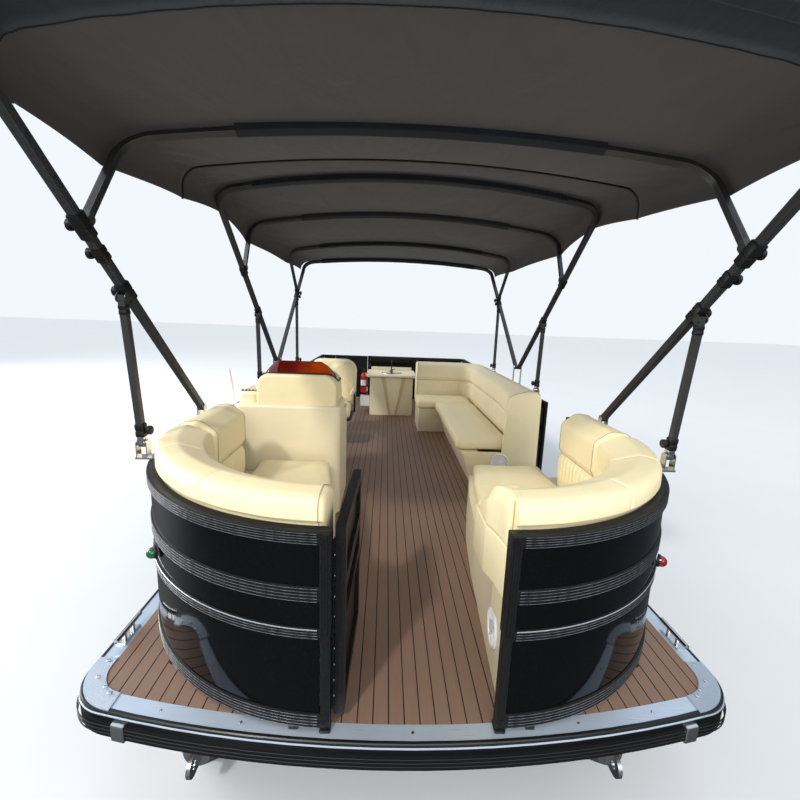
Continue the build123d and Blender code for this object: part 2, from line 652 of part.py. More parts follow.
save(console, "console")

DASH_FRONT = at(CONSOLE_STATIONS[0] + 20)
WHEEL_CENTRE = (HELM_SEAT_X, DASH_FRONT + 555, up(836))
WHEEL_AXIS = (0, cos(radians(WHEEL_TILT)), sin(radians(WHEEL_TILT)))


def wheel_plane(along_axis):
    """a work plane across the steering column"""
    origin = [c + a * along_axis for c, a in zip(WHEEL_CENTRE, WHEEL_AXIS)]
    return Plane(origin=origin, x_dir=(1, 0, 0), z_dir=WHEEL_AXIS)


with BuildPart() as dash_pod:
    with BuildSketch(lengthwise(POD_X[0])):
        with BuildLine():
            step = at(CONSOLE_STEP) + 0.5
            Polyline((DASH_FRONT, up(CONSOLE_H + 0.5)), (DASH_FRONT + 20, up(POD_H)), (DASH_FRONT + 330, up(POD_H)),
                     (DASH_FRONT + 480, up(CONSOLE_SHELF_H + 0.5)), (step, up(CONSOLE_SHELF_H + 0.5)),
                     (step, up(CONSOLE_H + 0.5)), close=True)
        make_face()
    extrude(amount=POD_X[1] - POD_X[0])
    fillet(dash_pod.faces().sort_by(Axis.Z)[-1].edges().filter_by(Axis.Y), 85)
    fillet(dash_pod.faces().sort_by(Axis.Y)[0].edges().sort_by(Axis.Z)[1:], 24)
    # the steering column runs down from the wheel's hub
    with BuildSketch(wheel_plane(-175)):
        Circle(30)
    extrude(amount=155)
    with BuildSketch(wheel_plane(-30)):
        Circle(12)
    extrude(amount=40)
save(dash_pod, "dash_pod")

SCREEN_Z = (POD_H + 1, POD_H + 80)
with BuildPart() as windscreen:
    with BuildSketch(level(up(SCREEN_Z[0]))):
        with BuildLine():
            FilletPolyline((POD_X[0] + 88, DASH_FRONT + 300), (POD_X[0] + 88, DASH_FRONT + 60),
                           (POD_X[1] - 88, DASH_FRONT + 60), (POD_X[1] - 88, DASH_FRONT + 300), radius=90)
        trace(line_width=5)
    extrude(amount=SCREEN_Z[1] - SCREEN_Z[0])
save(windscreen, "windscreen")

with BuildPart(wheel_plane(0)) as steering_wheel:
    Torus(WHEEL_R, 14)
    Cylinder(38, 30)
    with PolarLocations(0, 3, start_angle=90):
        with Locations((WHEEL_R / 2, 0, 0)):
            Box(WHEEL_R, 26, 10)
    Cylinder(12 + PIN_CLEARANCE, 60, mode=Mode.SUBTRACT)
save(steering_wheel, "steering_wheel")

SEAT_Y = at(HELM_SEAT_STATION)
with BuildPart() as helm_pedestal:
    with Locations((HELM_SEAT_X, SEAT_Y, up(8))):
        Cylinder(150, 16)
    with Locations((HELM_SEAT_X, SEAT_Y, up(150))):
        Cylinder(36, 300)
    with Locations((HELM_SEAT_X, SEAT_Y, up(308))):
        Cylinder(20, 20)
save(helm_pedestal, "helm_pedestal")

with BuildPart() as helm_seat:
    block(HELM_SEAT_X - 130, HELM_SEAT_X + 130, SEAT_Y - 120, SEAT_Y + 120, up(302), up(322))
    block(HELM_SEAT_X - 270, HELM_SEAT_X + 270, SEAT_Y - 270, SEAT_Y + 230, up(322), up(460))
    with BuildSketch(lengthwise(HELM_SEAT_X - 270)):
        with BuildLine():
            Polyline((SEAT_Y + 130, up(400)), (SEAT_Y + 190, up(930)), (SEAT_Y + 330, up(930)), (SEAT_Y + 270, up(400)),
                     close=True)
        make_face()
    extrude(amount=540)
    fillet(helm_seat.edges().filter_by(Axis.Y).group_by(Axis.Z)[-1], 115)
    fillet(helm_seat.edges().filter_by(Axis.X).group_by(Axis.Z)[-1], 40)
    with Locations((HELM_SEAT_X, SEAT_Y, up(312))):
        Cylinder(20 + PIN_CLEARANCE, 21, mode=Mode.SUBTRACT)
save(helm_seat, "helm_seat")

GALLEY_MID = ((GALLEY_X[0] + GALLEY_X[1]) / 2, at((GALLEY_STATIONS[0] + GALLEY_STATIONS[1]) / 2))
with BuildPart() as galley:
    block(*GALLEY_X, at(GALLEY_STATIONS[0]), at(GALLEY_STATIONS[1]), up(0.5), up(GALLEY_H))
    fillet(galley.edges().filter_by(Axis.Z), 50)
    block(GALLEY_X[0] - 34, GALLEY_X[1] + 28, at(GALLEY_STATIONS[0] - 30), at(GALLEY_STATIONS[1] + 15),
          up(GALLEY_H - 40), up(GALLEY_H))
    with Locations((GALLEY_MID[0], GALLEY_MID[1] - 60, up(GALLEY_H - SINK_DEPTH / 2))):
        Cylinder(SINK_R, SINK_DEPTH, mode=Mode.SUBTRACT)
    block(GALLEY_X[0], GALLEY_X[1], at(GALLEY_STATIONS[1] - 40), at(GALLEY_STATIONS[1]), up(GALLEY_H), up(GALLEY_H + 50))
save(galley, "galley")

with BuildPart() as sink_tap:
    tap = (GALLEY_MID[0], GALLEY_MID[1] + SINK_R - 20, up(GALLEY_H) + 0.3)
    with Locations((tap[0], tap[1], tap[2] + 65)):
        Cylinder(11, 130)
    with Locations((tap[0], tap[1], tap[2] + 8)):
        Cylinder(22, 16)
    with Locations((tap[0], tap[1] - 45, tap[2] + 125)):
        Cylinder(9, 110, rotation=(90, 0, 0))
save(sink_tap, "sink_tap")

EXTINGUISHER = (GALLEY_X[0] - 92, at(GALLEY_STATIONS[0] + 80))
with BuildPart() as extinguisher:
    with Locations((*EXTINGUISHER, up(460))):
        Cylinder(44, 280)
    fillet(extinguisher.edges().group_by(Axis.Z)[-1], 30)
    with Locations((*EXTINGUISHER, up(620))):
        Cylinder(14, 50)
    block(EXTINGUISHER[0] - 15, EXTINGUISHER[0] + 15, EXTINGUISHER[1] - 70, EXTINGUISHER[1] + 30, up(640), up(680))
    block(EXTINGUISHER[0] + 30, GALLEY_X[0] - 0.5, EXTINGUISHER[1] - 15, EXTINGUISHER[1] + 15, up(400), up(450))
save(extinguisher, "extinguisher")

# A small box on the galley's side under the extinguisher
with BuildPart() as galley_side_box:
    block(GALLEY_X[0] - 140, GALLEY_X[0] - 0.5, at(GALLEY_STATIONS[0] + 50), at(GALLEY_STATIONS[0] + 160), up(120), up(265))
    fillet(galley_side_box.edges().filter_by(Axis.Z), 12)
save(galley_side_box, "galley_side_box")

# Navigation lights: side, height
with BuildPart() as nav_lights:
    for side in (1, -1):
        a = radians(-38)
        r = BOW_R + RAIL_W / 2 + 18
        with Locations((side * (BOW_CENTRE[0] + r * cos(a)), at(BOW_CENTRE[1]) + r * sin(a), up(450))):
            Cylinder(17, 60)
save(nav_lights, "nav_lights")


# Bimini top

W_FRONT = FENCE_X
W_REAR_OUT = FENCE_X + TOP_TUBE / 2 + EAR_GAP
W_REAR_IN = FENCE_X - TOP_TUBE / 2 - EAR_GAP


def direction(start, end):
    """the angle of a line from one (station, height) to another, in degrees up from aft"""
    return degrees(atan2(end[1] - start[1], end[0] - start[0]))


def along(start, angle, distance):
    """the (station, height) reached from start at an angle"""
    a = radians(angle)
    return (start[0] + distance * cos(a), start[1] + distance * sin(a))


def tilted(pivot, angle):
    """the plane of a bow: local x to port, local y along its legs, origin at its pivot"""
    a = radians(angle)
    return Plane(origin=(0, at(pivot[0]), up(pivot[1])), x_dir=(1, 0, 0), z_dir=(0, -sin(a), cos(a)))


def bow(pivot, angle, half_width, top, tube, foot=14.0):
    """a bow of square tube: two legs from the pivots, rounded corners and a crowned crossing"""
    turn = radians(TOP_CORNER_TURN)
    r = TOP_CORNER_R
    x1 = half_width - r + r * cos(turn)
    crown_r = x1 / cos(turn)
    leg = top - r * sin(turn) - crown_r * (1 - sin(turn))
    mid = radians(TOP_CORNER_TURN / 2)
    with BuildSketch(tilted(pivot, angle)) as path:
        with BuildLine():
            for s in (1, -1):
                Line((s * half_width, -foot), (s * half_width, leg))
                ThreePointArc((s * half_width, leg), (s * (half_width - r + r * cos(mid)), leg + r * sin(mid)),
                              (s * x1, leg + r * sin(turn)))
            ThreePointArc((x1, leg + r * sin(turn)), (0, top), (-x1, leg + r * sin(turn)))
        trace(line_width=tube)
    extrude(path.sketch, amount=tube / 2, both=True)


def pin_hole(pivot, half_width, tube):
    """the hole through both legs for a pivot's pin"""
    for s in (1, -1):
        with BuildSketch(lengthwise(s * half_width - tube)) as hole:
            with Locations((at(pivot[0]), up(pivot[1]))):
                Circle(PIN_R + PIN_CLEARANCE)
        extrude(hole.sketch, amount=2 * tube, mode=Mode.SUBTRACT)


def ears(base, pivot, half_width, tube, pin=True):
    """two plates on each leg that reach from base to a pivot beside it, with their pin"""
    for s in (1, -1):
        for face in (-1, 1):
            inner = s * half_width + face * tube / 2
            with BuildSketch(lengthwise(min(inner, inner + face * EAR_T))) as ear:
                with BuildLine():
                    Line((at(base[0]), up(base[1])), (at(pivot[0]), up(pivot[1])))
                trace(line_width=2 * EAR_R)
                with Locations((at(pivot[0]), up(pivot[1])), (at(base[0]), up(base[1]))):
                    Circle(EAR_R)
            extrude(ear.sketch, amount=EAR_T)
        if pin:
            with BuildSketch(lengthwise(s * half_width - tube / 2 - EAR_T)) as pin_end:
                with Locations((at(pivot[0]), up(pivot[1]))):
                    Circle(PIN_R)
            extrude(pin_end.sketch, amount=tube + 2 * EAR_T)


def strut(top, foot, half_width, tube):
    """a square strut on each side from its top pivot to its foot"""
    angle = direction(top, foot)
    for s in (1, -1):
        first, last = along(top, angle, -14), along(foot, angle, 14)
        with BuildSketch(lengthwise(s * half_width - tube / 2)) as side_view:
            with BuildLine():
                Line((at(first[0]), up(first[1])), (at(last[0]), up(last[1])))
            trace(line_width=tube)
        extrude(side_view.sketch, amount=tube)


# The front top: its bow leans forward from the first hinge
FRONT_ANGLE = FRONT_LEAN
FRONT_BRANCH_AT = 1227.0
FRONT_BRANCH_ANGLE = 53.5
FRONT_BRANCH_TOP = 590.0
FRONT_STRUT_AT = 915.0
FRONT_STRUT_FOOT = (690.0, 815.0)
FRONT_BRANCH_BASE = along(HINGE_1, FRONT_ANGLE, FRONT_BRANCH_AT)
FRONT_BRANCH_PIVOT = along(FRONT_BRANCH_BASE, FRONT_ANGLE - 90, PIVOT_OFFSET)
FRONT_STRUT_BASE = along(HINGE_1, FRONT_ANGLE, FRONT_STRUT_AT)
FRONT_STRUT_PIVOT = along(FRONT_STRUT_BASE, FRONT_ANGLE + 90, PIVOT_OFFSET)

with BuildPart() as front_bow:
    bow(HINGE_1, FRONT_ANGLE, W_FRONT, FRONT_TOP, TOP_TUBE)
    ears(FRONT_BRANCH_BASE, FRONT_BRANCH_PIVOT, W_FRONT, TOP_TUBE)
    ears(FRONT_STRUT_BASE, FRONT_STRUT_PIVOT, W_FRONT, TOP_TUBE)
    pin_hole(HINGE_1, W_FRONT, TOP_TUBE)
save(front_bow, "top_front_bow")

with BuildPart() as front_branch:
    bow(FRONT_BRANCH_PIVOT, FRONT_BRANCH_ANGLE, W_FRONT, FRONT_BRANCH_TOP, TOP_BRANCH)
    pin_hole(FRONT_BRANCH_PIVOT, W_FRONT, TOP_BRANCH)
save(front_branch, "top_front_branch")

with BuildPart() as front_struts:
    strut(FRONT_STRUT_PIVOT, FRONT_STRUT_FOOT, W_FRONT, TOP_BRANCH)
    pin_hole(FRONT_STRUT_PIVOT, W_FRONT, TOP_BRANCH)
save(front_struts, "top_front_struts")

# The rear top: one bow leans forward and one aft from the second hinge
REAR_ANGLE = direction(HINGE_2, (1740, 2120))
REAR_TOP = 1989.0
REAR_BRANCH_AT = 1180.0
REAR_BRANCH_ANGLE = 62.0
REAR_BRANCH_TOP = 540.0
REAR_STRUT_AT = 720.0
REAR_STRUT_FOOT = (2570.0, 815.0)
REAR_BRANCH_BASE = along(HINGE_2, REAR_ANGLE, REAR_BRANCH_AT)
REAR_BRANCH_PIVOT = along(REAR_BRANCH_BASE, REAR_ANGLE - 90, PIVOT_OFFSET)
REAR_STRUT_BASE = along(HINGE_2, REAR_ANGLE, REAR_STRUT_AT)
REAR_STRUT_PIVOT = along(REAR_STRUT_BASE, REAR_ANGLE + 90, PIVOT_OFFSET)
AFT_ANGLE = direction(HINGE_2, (4470, 1990))
AFT_TOP = 1964.0
AFT_BRANCH_AT = 1150.0
AFT_BRANCH_ANGLE = 137.0
AFT_BRANCH_TOP = 700.0
AFT_STRUT_FOOT = (4000.0, 815.0)
AFT_BRANCH_BASE = along(HINGE_2, AFT_ANGLE, AFT_BRANCH_AT)
AFT_BRANCH_PIVOT = along(AFT_BRANCH_BASE, AFT_ANGLE + 90, PIVOT_OFFSET)
AFT_STRUT_BASE = along(HINGE_2, AFT_ANGLE, 1080.0)
AFT_STRUT_PIVOT = along(AFT_STRUT_BASE, AFT_ANGLE - 90, PIVOT_OFFSET)

with BuildPart() as rear_bow:
    bow(HINGE_2, REAR_ANGLE, W_REAR_OUT, REAR_TOP, TOP_TUBE)
    ears(REAR_BRANCH_BASE, REAR_BRANCH_PIVOT, W_REAR_OUT, TOP_TUBE)
    ears(REAR_STRUT_BASE, REAR_STRUT_PIVOT, W_REAR_OUT, TOP_TUBE)
    pin_hole(HINGE_2, W_REAR_OUT, TOP_TUBE)
save(rear_bow, "top_rear_bow")

with BuildPart() as rear_branch:
    bow(REAR_BRANCH_PIVOT, REAR_BRANCH_ANGLE, W_REAR_OUT, REAR_BRANCH_TOP, TOP_BRANCH)
    pin_hole(REAR_BRANCH_PIVOT, W_REAR_OUT, TOP_BRANCH)
save(rear_branch, "top_rear_branch")

with BuildPart() as rear_struts:
    strut(REAR_STRUT_PIVOT, REAR_STRUT_FOOT, W_REAR_OUT, TOP_BRANCH)
    pin_hole(REAR_STRUT_PIVOT, W_REAR_OUT, TOP_BRANCH)
save(rear_struts, "top_rear_struts")

with BuildPart() as aft_bow:
    bow(HINGE_2, AFT_ANGLE, W_REAR_IN, AFT_TOP, TOP_TUBE)
    ears(AFT_BRANCH_BASE, AFT_BRANCH_PIVOT, W_REAR_IN, TOP_TUBE)
    ears(AFT_STRUT_BASE, AFT_STRUT_PIVOT, W_REAR_IN, TOP_TUBE)
    strut(AFT_STRUT_PIVOT, AFT_STRUT_FOOT, W_REAR_IN, TOP_BRANCH)
    pin_hole(HINGE_2, W_REAR_IN, TOP_TUBE)
    pin_hole(AFT_STRUT_FOOT, W_REAR_IN, TOP_BRANCH)
save(aft_bow, "top_aft_bow")

with BuildPart() as aft_branch:
    bow(AFT_BRANCH_PIVOT, AFT_BRANCH_ANGLE, W_REAR_IN, AFT_BRANCH_TOP, TOP_BRANCH)
    pin_hole(AFT_BRANCH_PIVOT, W_REAR_IN, TOP_BRANCH)
save(aft_branch, "top_aft_branch")

FITTING_W = 56.0
# Fittings on the rails: station and height of the pivot, half width of the slot, middle, pin, reach inwards
FITTINGS = (
    (HINGE_1, TOP_TUBE / 2 + EAR_GAP, W_FRONT, True, 0),
    (FRONT_STRUT_FOOT, TOP_BRANCH / 2 + 6, W_FRONT, False, 40),
    (HINGE_2, TOP_TUBE + 2 * EAR_GAP, FENCE_X, True, 0),
    (REAR_STRUT_FOOT, TOP_BRANCH / 2 + 6, W_REAR_OUT, False, 0),
    (AFT_STRUT_FOOT, TOP_BRANCH / 2 + EAR_GAP, W_REAR_IN, True, 0),
)
with BuildPart() as top_fittings:
    for pivot, half_slot, centre, has_pin, reach in FITTINGS:
        y, z = at(pivot[0]), up(pivot[1])
        for s in (1, -1):
            x = s * centre
            x0, x1 = sorted((x - s * (half_slot + EAR_T + reach), x + s * (half_slot + EAR_T)))
            block(x0, x1, y - FITTING_W / 2, y + FITTING_W / 2, up(RAIL_TOP) + 0.3, up(RAIL_TOP) + 8)
            for face in (-1, 1):
                inner = x + face * half_slot
                with BuildSketch(lengthwise(min(inner, inner + face * EAR_T))):
                    with BuildLine():
                        Line((y, up(RAIL_TOP) + 0.3), (y, z))
                    trace(line_width=2 * EAR_R)
                    with Locations((y, z)):
                        Circle(EAR_R)
                extrude(amount=EAR_T)
            if has_pin:
                with BuildSketch(lengthwise(x - half_slot - EAR_T)):
                    with Locations((y, z)):
                        Circle(PIN_R)
                extrude(amount=2 * half_slot + 2 * EAR_T)
save(top_fittings, "top_fittings")


CANVAS_HALF = W_REAR_OUT + TOP_TUBE / 2 + CANVAS_T / 2 + 1


def canvas_face(pivot, angle, top, corner_r=TOP_CORNER_R, corner_turn=TOP_CORNER_TURN):
    """the canvas cut on the plane of a bow, with its crown at top along the bow's legs"""
    turn = radians(corner_turn)
    x1 = CANVAS_HALF - corner_r + corner_r * cos(turn)
    crown_r = x1 / cos(turn)
    mid = turn / 2
    leg = top - corner_r * sin(turn) - crown_r * (1 - sin(turn))
    corner = (CANVAS_HALF - corner_r + corner_r * cos(mid), leg + corner_r * sin(mid))
    with BuildSketch(tilted(pivot, angle)) as section:
        with BuildLine():
            Line((CANVAS_HALF, leg - CANVAS_SKIRT), (CANVAS_HALF, leg))
            ThreePointArc((CANVAS_HALF, leg), corner, (x1, leg + corner_r * sin(turn)))
            ThreePointArc((x1, leg + corner_r * sin(turn)), (0, top), (-x1, leg + corner_r * sin(turn)))
            ThreePointArc((-x1, leg + corner_r * sin(turn)), (-corner[0], corner[1]), (-CANVAS_HALF, leg))
            Line((-CANVAS_HALF, leg), (-CANVAS_HALF, leg - CANVAS_SKIRT))
        trace(line_width=CANVAS_T)
    return section.sketch.faces()[0]


ZIP_R, ZIP_TURN = 110.0, 82.0
ZIP_TOP = 2246.0
# Canvas sections: pivot, lean and crown of each, the first and last past the end bows
FRONT_SECTIONS = (
    ((HINGE_1[0] - CANVAS_POCKET, HINGE_1[1]), FRONT_ANGLE, FRONT_EDGE_TOP),
    (FRONT_BRANCH_PIVOT, FRONT_BRANCH_ANGLE, FRONT_BRANCH_TOP + canvas_lift(FRONT_BRANCH_ANGLE, TOP_BRANCH)),
    ((CANVAS_JOINT - 3, 0), 90, ZIP_TOP, ZIP_R, ZIP_TURN),
)
REAR_SECTIONS = (
    ((CANVAS_JOINT + 3, 0), 90, ZIP_TOP, ZIP_R, ZIP_TURN),
    (HINGE_2, REAR_ANGLE, REAR_TOP + canvas_lift(REAR_ANGLE, TOP_TUBE)),
    (REAR_BRANCH_PIVOT, REAR_BRANCH_ANGLE, REAR_BRANCH_TOP + canvas_lift(REAR_BRANCH_ANGLE, TOP_BRANCH)),
    (AFT_BRANCH_PIVOT, AFT_BRANCH_ANGLE, AFT_BRANCH_TOP + canvas_lift(AFT_BRANCH_ANGLE, TOP_BRANCH)),
    ((HINGE_2[0] + CANVAS_POCKET, HINGE_2[1]), AFT_ANGLE, AFT_TOP + canvas_lift(AFT_ANGLE, TOP_TUBE)),
)
for name, sections in (("front", FRONT_SECTIONS), ("rear", REAR_SECTIONS)):
    with BuildPart() as canvas:
        loft([canvas_face(*section) for section in sections], ruled=True)
    save(canvas, f"top_{name}_canvas")


# Outboard, built about the tilt axis and leaned to its parked tilt

TILT = radians(PARKED_TILT)
ENGINE = Plane(origin=(0, at(TILT_STATION), TILT_Z), x_dir=(1, 0, 0), z_dir=(0, -sin(TILT), cos(TILT)))


def engine_level(z):
    """a work plane across the leg at z below or above the tilt tube"""
    return Plane(origin=ENGINE.from_local_coords((0, 0, z)), x_dir=ENGINE.x_dir, z_dir=ENGINE.z_dir)


def engine_side(x):
    """a work plane beside the leg, with local x forward-to-aft and local y up the leg"""
    return Plane(origin=ENGINE.from_local_coords((x, 0, 0)), x_dir=ENGINE.y_dir, z_dir=(1, 0, 0))


BRACKET_X = 118.0
BRACKET_T = 14.0
TILT_TUBE_R = 15.0
with BuildPart() as outboard_bracket:
    for s in (1, -1):
        x0 = min(s * BRACKET_X, s * (BRACKET_X + BRACKET_T))
        with BuildSketch(lengthwise(x0)):
            with BuildLine():
                y, z = at(TRANSOM_STATION), TRANSOM_TOP
                Polyline((y - TRANSOM_T - 40, z - 110), (y - TRANSOM_T - 40, z + 26), (y - TILT_BACK - 25, z + 66),
                         (y - TILT_BACK + 25, z + 66), (y + 40, z + 10), (y + 40, z - 300), (y + 0.5, z - 320),
                         (y + 0.5, z + 0.5), (y - TRANSOM_T - 0.5, z + 0.5), (y - TRANSOM_T - 0.5, z - 110), close=True)
            make_face()
        extrude(amount=BRACKET_T)
    with Locations((0, at(TILT_STATION), TILT_Z)):
        Cylinder(TILT_TUBE_R, 2 * BRACKET_X + 2 * BRACKET_T, rotation=(0, 90, 0))
save(outboard_bracket, "outboard_bracket")

SHAFT_R = 24.0
HOUSING_R = 42.0
with BuildPart() as outboard_swivel:
    with BuildSketch(engine_side(-BRACKET_X + 6)):
        with Locations((8, 0)):
            Rectangle(70, 52)
    extrude(amount=2 * BRACKET_X - 12)
    with BuildSketch(engine_side(-34)):
        with BuildLine():
            Polyline((0, 24), (STEER_BACK, 60), (STEER_BACK, -380), (STEER_BACK - 30, -380), (20, -24), close=True)
        make_face()
    extrude(amount=68)
    with BuildSketch(engine_level(-400)):
        with Locations((0, STEER_BACK)):
            Circle(HOUSING_R)
    extrude(amount=470)
    with BuildSketch(engine_side(-BRACKET_X)):
        Circle(TILT_TUBE_R + PIN_CLEARANCE)
    extrude(amount=2 * BRACKET_X, mode=Mode.SUBTRACT)
    with BuildSketch(engine_level(-410)):
        with Locations((0, STEER_BACK)):
            Circle(SHAFT_R + PIN_CLEARANCE)
    extrude(amount=500, mode=Mode.SUBTRACT)
save(outboard_swivel, "outboard_swivel")

PROP_HUB = 104.0
PROP_SHAFT_R = 12.0


def engine_prop(along_shaft):
    """a work plane across the propeller's shaft"""
    origin = ENGINE.from_local_coords((0, PROP_BACK + along_shaft, -PROP_DROP))
    return Plane(origin=origin, x_dir=(1, 0, 0), z_dir=ENGINE.y_dir)


# Leg sections in pairs: height over the tilt tube, length, width, middle aft of the steering axis
LEG_SECTIONS = ((92, 290, 150, 195), (-440, 250, 96, 175), (-405, 330, 96, 120), (-670, 235, 60, 80),
                (-670, 235, 60, 80), (-PROP_DROP, 200, 44, 75))
# Cowl sections: height over the tilt tube, length, width, middle aft of the steering axis, corner
COWL_SECTIONS = ((92, 560, 330, 50, 130), (210, 640, 400, 50, 150), (430, 620, 390, 55, 150), (560, 460, 300, 70, 120))
with BuildPart() as outboard_unit:
    for z, length, width, middle, corner in COWL_SECTIONS:
        with BuildSketch(engine_level(z)):
            with Locations((0, STEER_BACK + middle)):
                RectangleRounded(width, length, corner)
    loft(ruled=True)
    # the steering shaft runs through the swivel bracket
    with BuildSketch(engine_level(LEG_SECTIONS[1][0])):
        with Locations((0, STEER_BACK)):
            Circle(SHAFT_R)
    extrude(amount=540)
    for pair in (LEG_SECTIONS[:2], LEG_SECTIONS[2:4], LEG_SECTIONS[4:]):
        for z, length, width, middle in pair:
            with BuildSketch(engine_level(z)):
                with Locations((0, STEER_BACK + middle)):
                    RectangleRounded(width, length, width / 2 - 1)
        loft()
    # the plate over the propeller
    with BuildSketch(engine_level(LEG_SECTIONS[4][0])):
        with Locations((0, STEER_BACK + 150)):
            SlotOverall(440, 190, rotation=90)
    extrude(amount=12)
    # the gearcase
    with BuildSketch(engine_side(0)):
        with BuildLine():
            y0, y1 = STEER_BACK - 90, PROP_BACK - PROP_HUB / 2 - 5
            z = -PROP_DROP
            Line((y0, z), (y1, z))
            Line((y1, z), (y1, z + 44))
            Spline((y1, z + 44), (y0 + 140, z + 60), (y0, z), tangents=((-1, 0.1), (-0.1, -1)))
        make_face()
    revolve(axis=Axis(ENGINE.from_local_coords((0, 0, -PROP_DROP)), ENGINE.y_dir))
    with BuildSketch(engine_prop(-PROP_HUB / 2 - 10)):
        Circle(PROP_SHAFT_R)
    extrude(amount=PROP_HUB + 24)
    # the skeg
    with BuildSketch(engine_side(-7)):
        with BuildLine():
            Polyline((STEER_BACK - 40, -PROP_DROP), (SKEG_BACK - 90, -LEG_LENGTH), (SKEG_BACK, -LEG_LENGTH),
                     (SKEG_BACK + 20, -PROP_DROP), close=True)
        make_face()
    extrude(amount=14)
save(outboard_unit, "outboard_unit")

BLADE_PITCH = 32.0
with BuildPart(engine_prop(0)) as propeller:
    Cylinder(46, PROP_HUB)
    with PolarLocations(0, 3, start_angle=-90):
        with Locations(Location((PROP_R / 2 + 10, 0, 0), (BLADE_PITCH, 0, 0))):
            Cylinder(PROP_R / 2 - 10, 9)
    Cylinder(PROP_SHAFT_R + PIN_CLEARANCE, PROP_HUB + 20, mode=Mode.SUBTRACT)
save(propeller, "propeller")

# Boarding ladder, stowed flat on the deck
LADDER_X = 830.0
LADDER_W = 380.0
LADDER_L = 620.0
LADDER_TUBE = 28.0
LADDER_PIN_R = 6.0
LADDER_HINGE = (DECK_LENGTH + 42, 40.0)
with BuildPart() as ladder:
    y1, z = at(LADDER_HINGE[0]), up(LADDER_HINGE[1])
    for x in (LADDER_X - LADDER_W / 2, LADDER_X + LADDER_W / 2):
        with Locations((x, y1 - LADDER_L / 2 + 14, z)):
            Cylinder(LADDER_TUBE / 2, LADDER_L, rotation=(90, 0, 0))
    for i in range(3):
        with Locations((LADDER_X, y1 - 90 - i * 210, z)):
            Box(LADDER_W, 60, 22)
    with Locations((LADDER_X, y1, z)):
        Cylinder(LADDER_PIN_R + PIN_CLEARANCE, 2 * LADDER_W, rotation=(0, 90, 0), mode=Mode.SUBTRACT)
save(ladder, "stern_ladder")

with BuildPart() as ladder_brackets:
    for s in (1, -1):
        x = LADDER_X + s * (LADDER_W / 2 + LADDER_TUBE / 2 + 4)
        y, z = at(LADDER_HINGE[0]), up(LADDER_HINGE[1])
        with BuildSketch(lengthwise(x - 3)):
            with BuildLine():
                Polyline((at(DECK_LENGTH - 30), up(0)), (at(DECK_LENGTH - 30), up(34)), (y, z + 14), (y + 14, z),
                         (y, z - 14), (at(DECK_LENGTH + 10), up(0)), close=True)
            make_face()
        extrude(amount=6)
        block(x - 3, x + s * 24, at(DECK_LENGTH - 40), at(DECK_LENGTH + 8), up(0), up(5))
        with Locations((x - s * 14, y, z)):
            Cylinder(LADDER_PIN_R, 34, rotation=(0, 90, 0))
save(ladder_brackets, "ladder_brackets")


# Where the joints turn: point and axis of each
PIVOTS = (
    ("bow_gate_hinge", (*BOW_GATE_HINGE, up(380)), (0, 0, -1)),
    ("side_gate_hinge", (*SIDE_GATE_HINGE, up(380)), (0, 0, -1)),
    ("stern_gate_hinge", (*STERN_GATE_HINGE, up(380)), (0, 0, 1)),
    ("front_top_fold", (0, at(HINGE_1[0]), up(HINGE_1[1])), (-1, 0, 0)),
    ("front_branch_fold", (0, at(FRONT_BRANCH_PIVOT[0]), up(FRONT_BRANCH_PIVOT[1])), (1, 0, 0)),
    ("front_strut_fold", (0, at(FRONT_STRUT_PIVOT[0]), up(FRONT_STRUT_PIVOT[1])), (1, 0, 0)),
    ("rear_top_fold", (0, at(HINGE_2[0]), up(HINGE_2[1])), (-1, 0, 0)),
    ("rear_branch_fold", (0, at(REAR_BRANCH_PIVOT[0]), up(REAR_BRANCH_PIVOT[1])), (1, 0, 0)),
    ("rear_strut_fold", (0, at(REAR_STRUT_PIVOT[0]), up(REAR_STRUT_PIVOT[1])), (1, 0, 0)),
    ("aft_branch_fold", (0, at(AFT_BRANCH_PIVOT[0]), up(AFT_BRANCH_PIVOT[1])), (-1, 0, 0)),
    ("outboard_tilt", tuple(ENGINE.origin), (-1, 0, 0)),
    ("outboard_steer", tuple(ENGINE.from_local_coords((0, STEER_BACK, 0))), tuple(ENGINE.z_dir)),
    ("propeller_spin", tuple(ENGINE.from_local_coords((0, PROP_BACK, -PROP_DROP))), tuple(ENGINE.y_dir)),
    ("helm_wheel_turn", WHEEL_CENTRE, WHEEL_AXIS),
    ("helm_seat_swivel", (HELM_SEAT_X, SEAT_Y, up(310)), (0, 0, 1)),
    ("ladder_hinge", (LADDER_X, at(LADDER_HINGE[0]), up(LADDER_HINGE[1])), (-1, 0, 0)),
    ("port_bow_seat_lid", (BACK_IN_X - 6, at(1340), up(SEAT_H)), (0, 1, 0)),
    ("starboard_bow_seat_lid", (-BACK_IN_X + 6, at(1340), up(SEAT_H)), (0, -1, 0)),
    ("main_seat_lid", (BENCH_IN_X - 6, at(3100), up(SEAT_H)), (0, 1, 0)),
)
for name, point, axis in PIVOTS:
    print("pivot", name, *(round(c / 1000, 6) for c in point), *(round(c, 8) for c in axis))
print("size", OVERALL / 1000, "bow", BOW_Y / 1000, "deck", DECK_TOP / 1000)
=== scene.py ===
import json
import math
import bmesh
import bpy
from mathutils import Matrix, Vector, noise


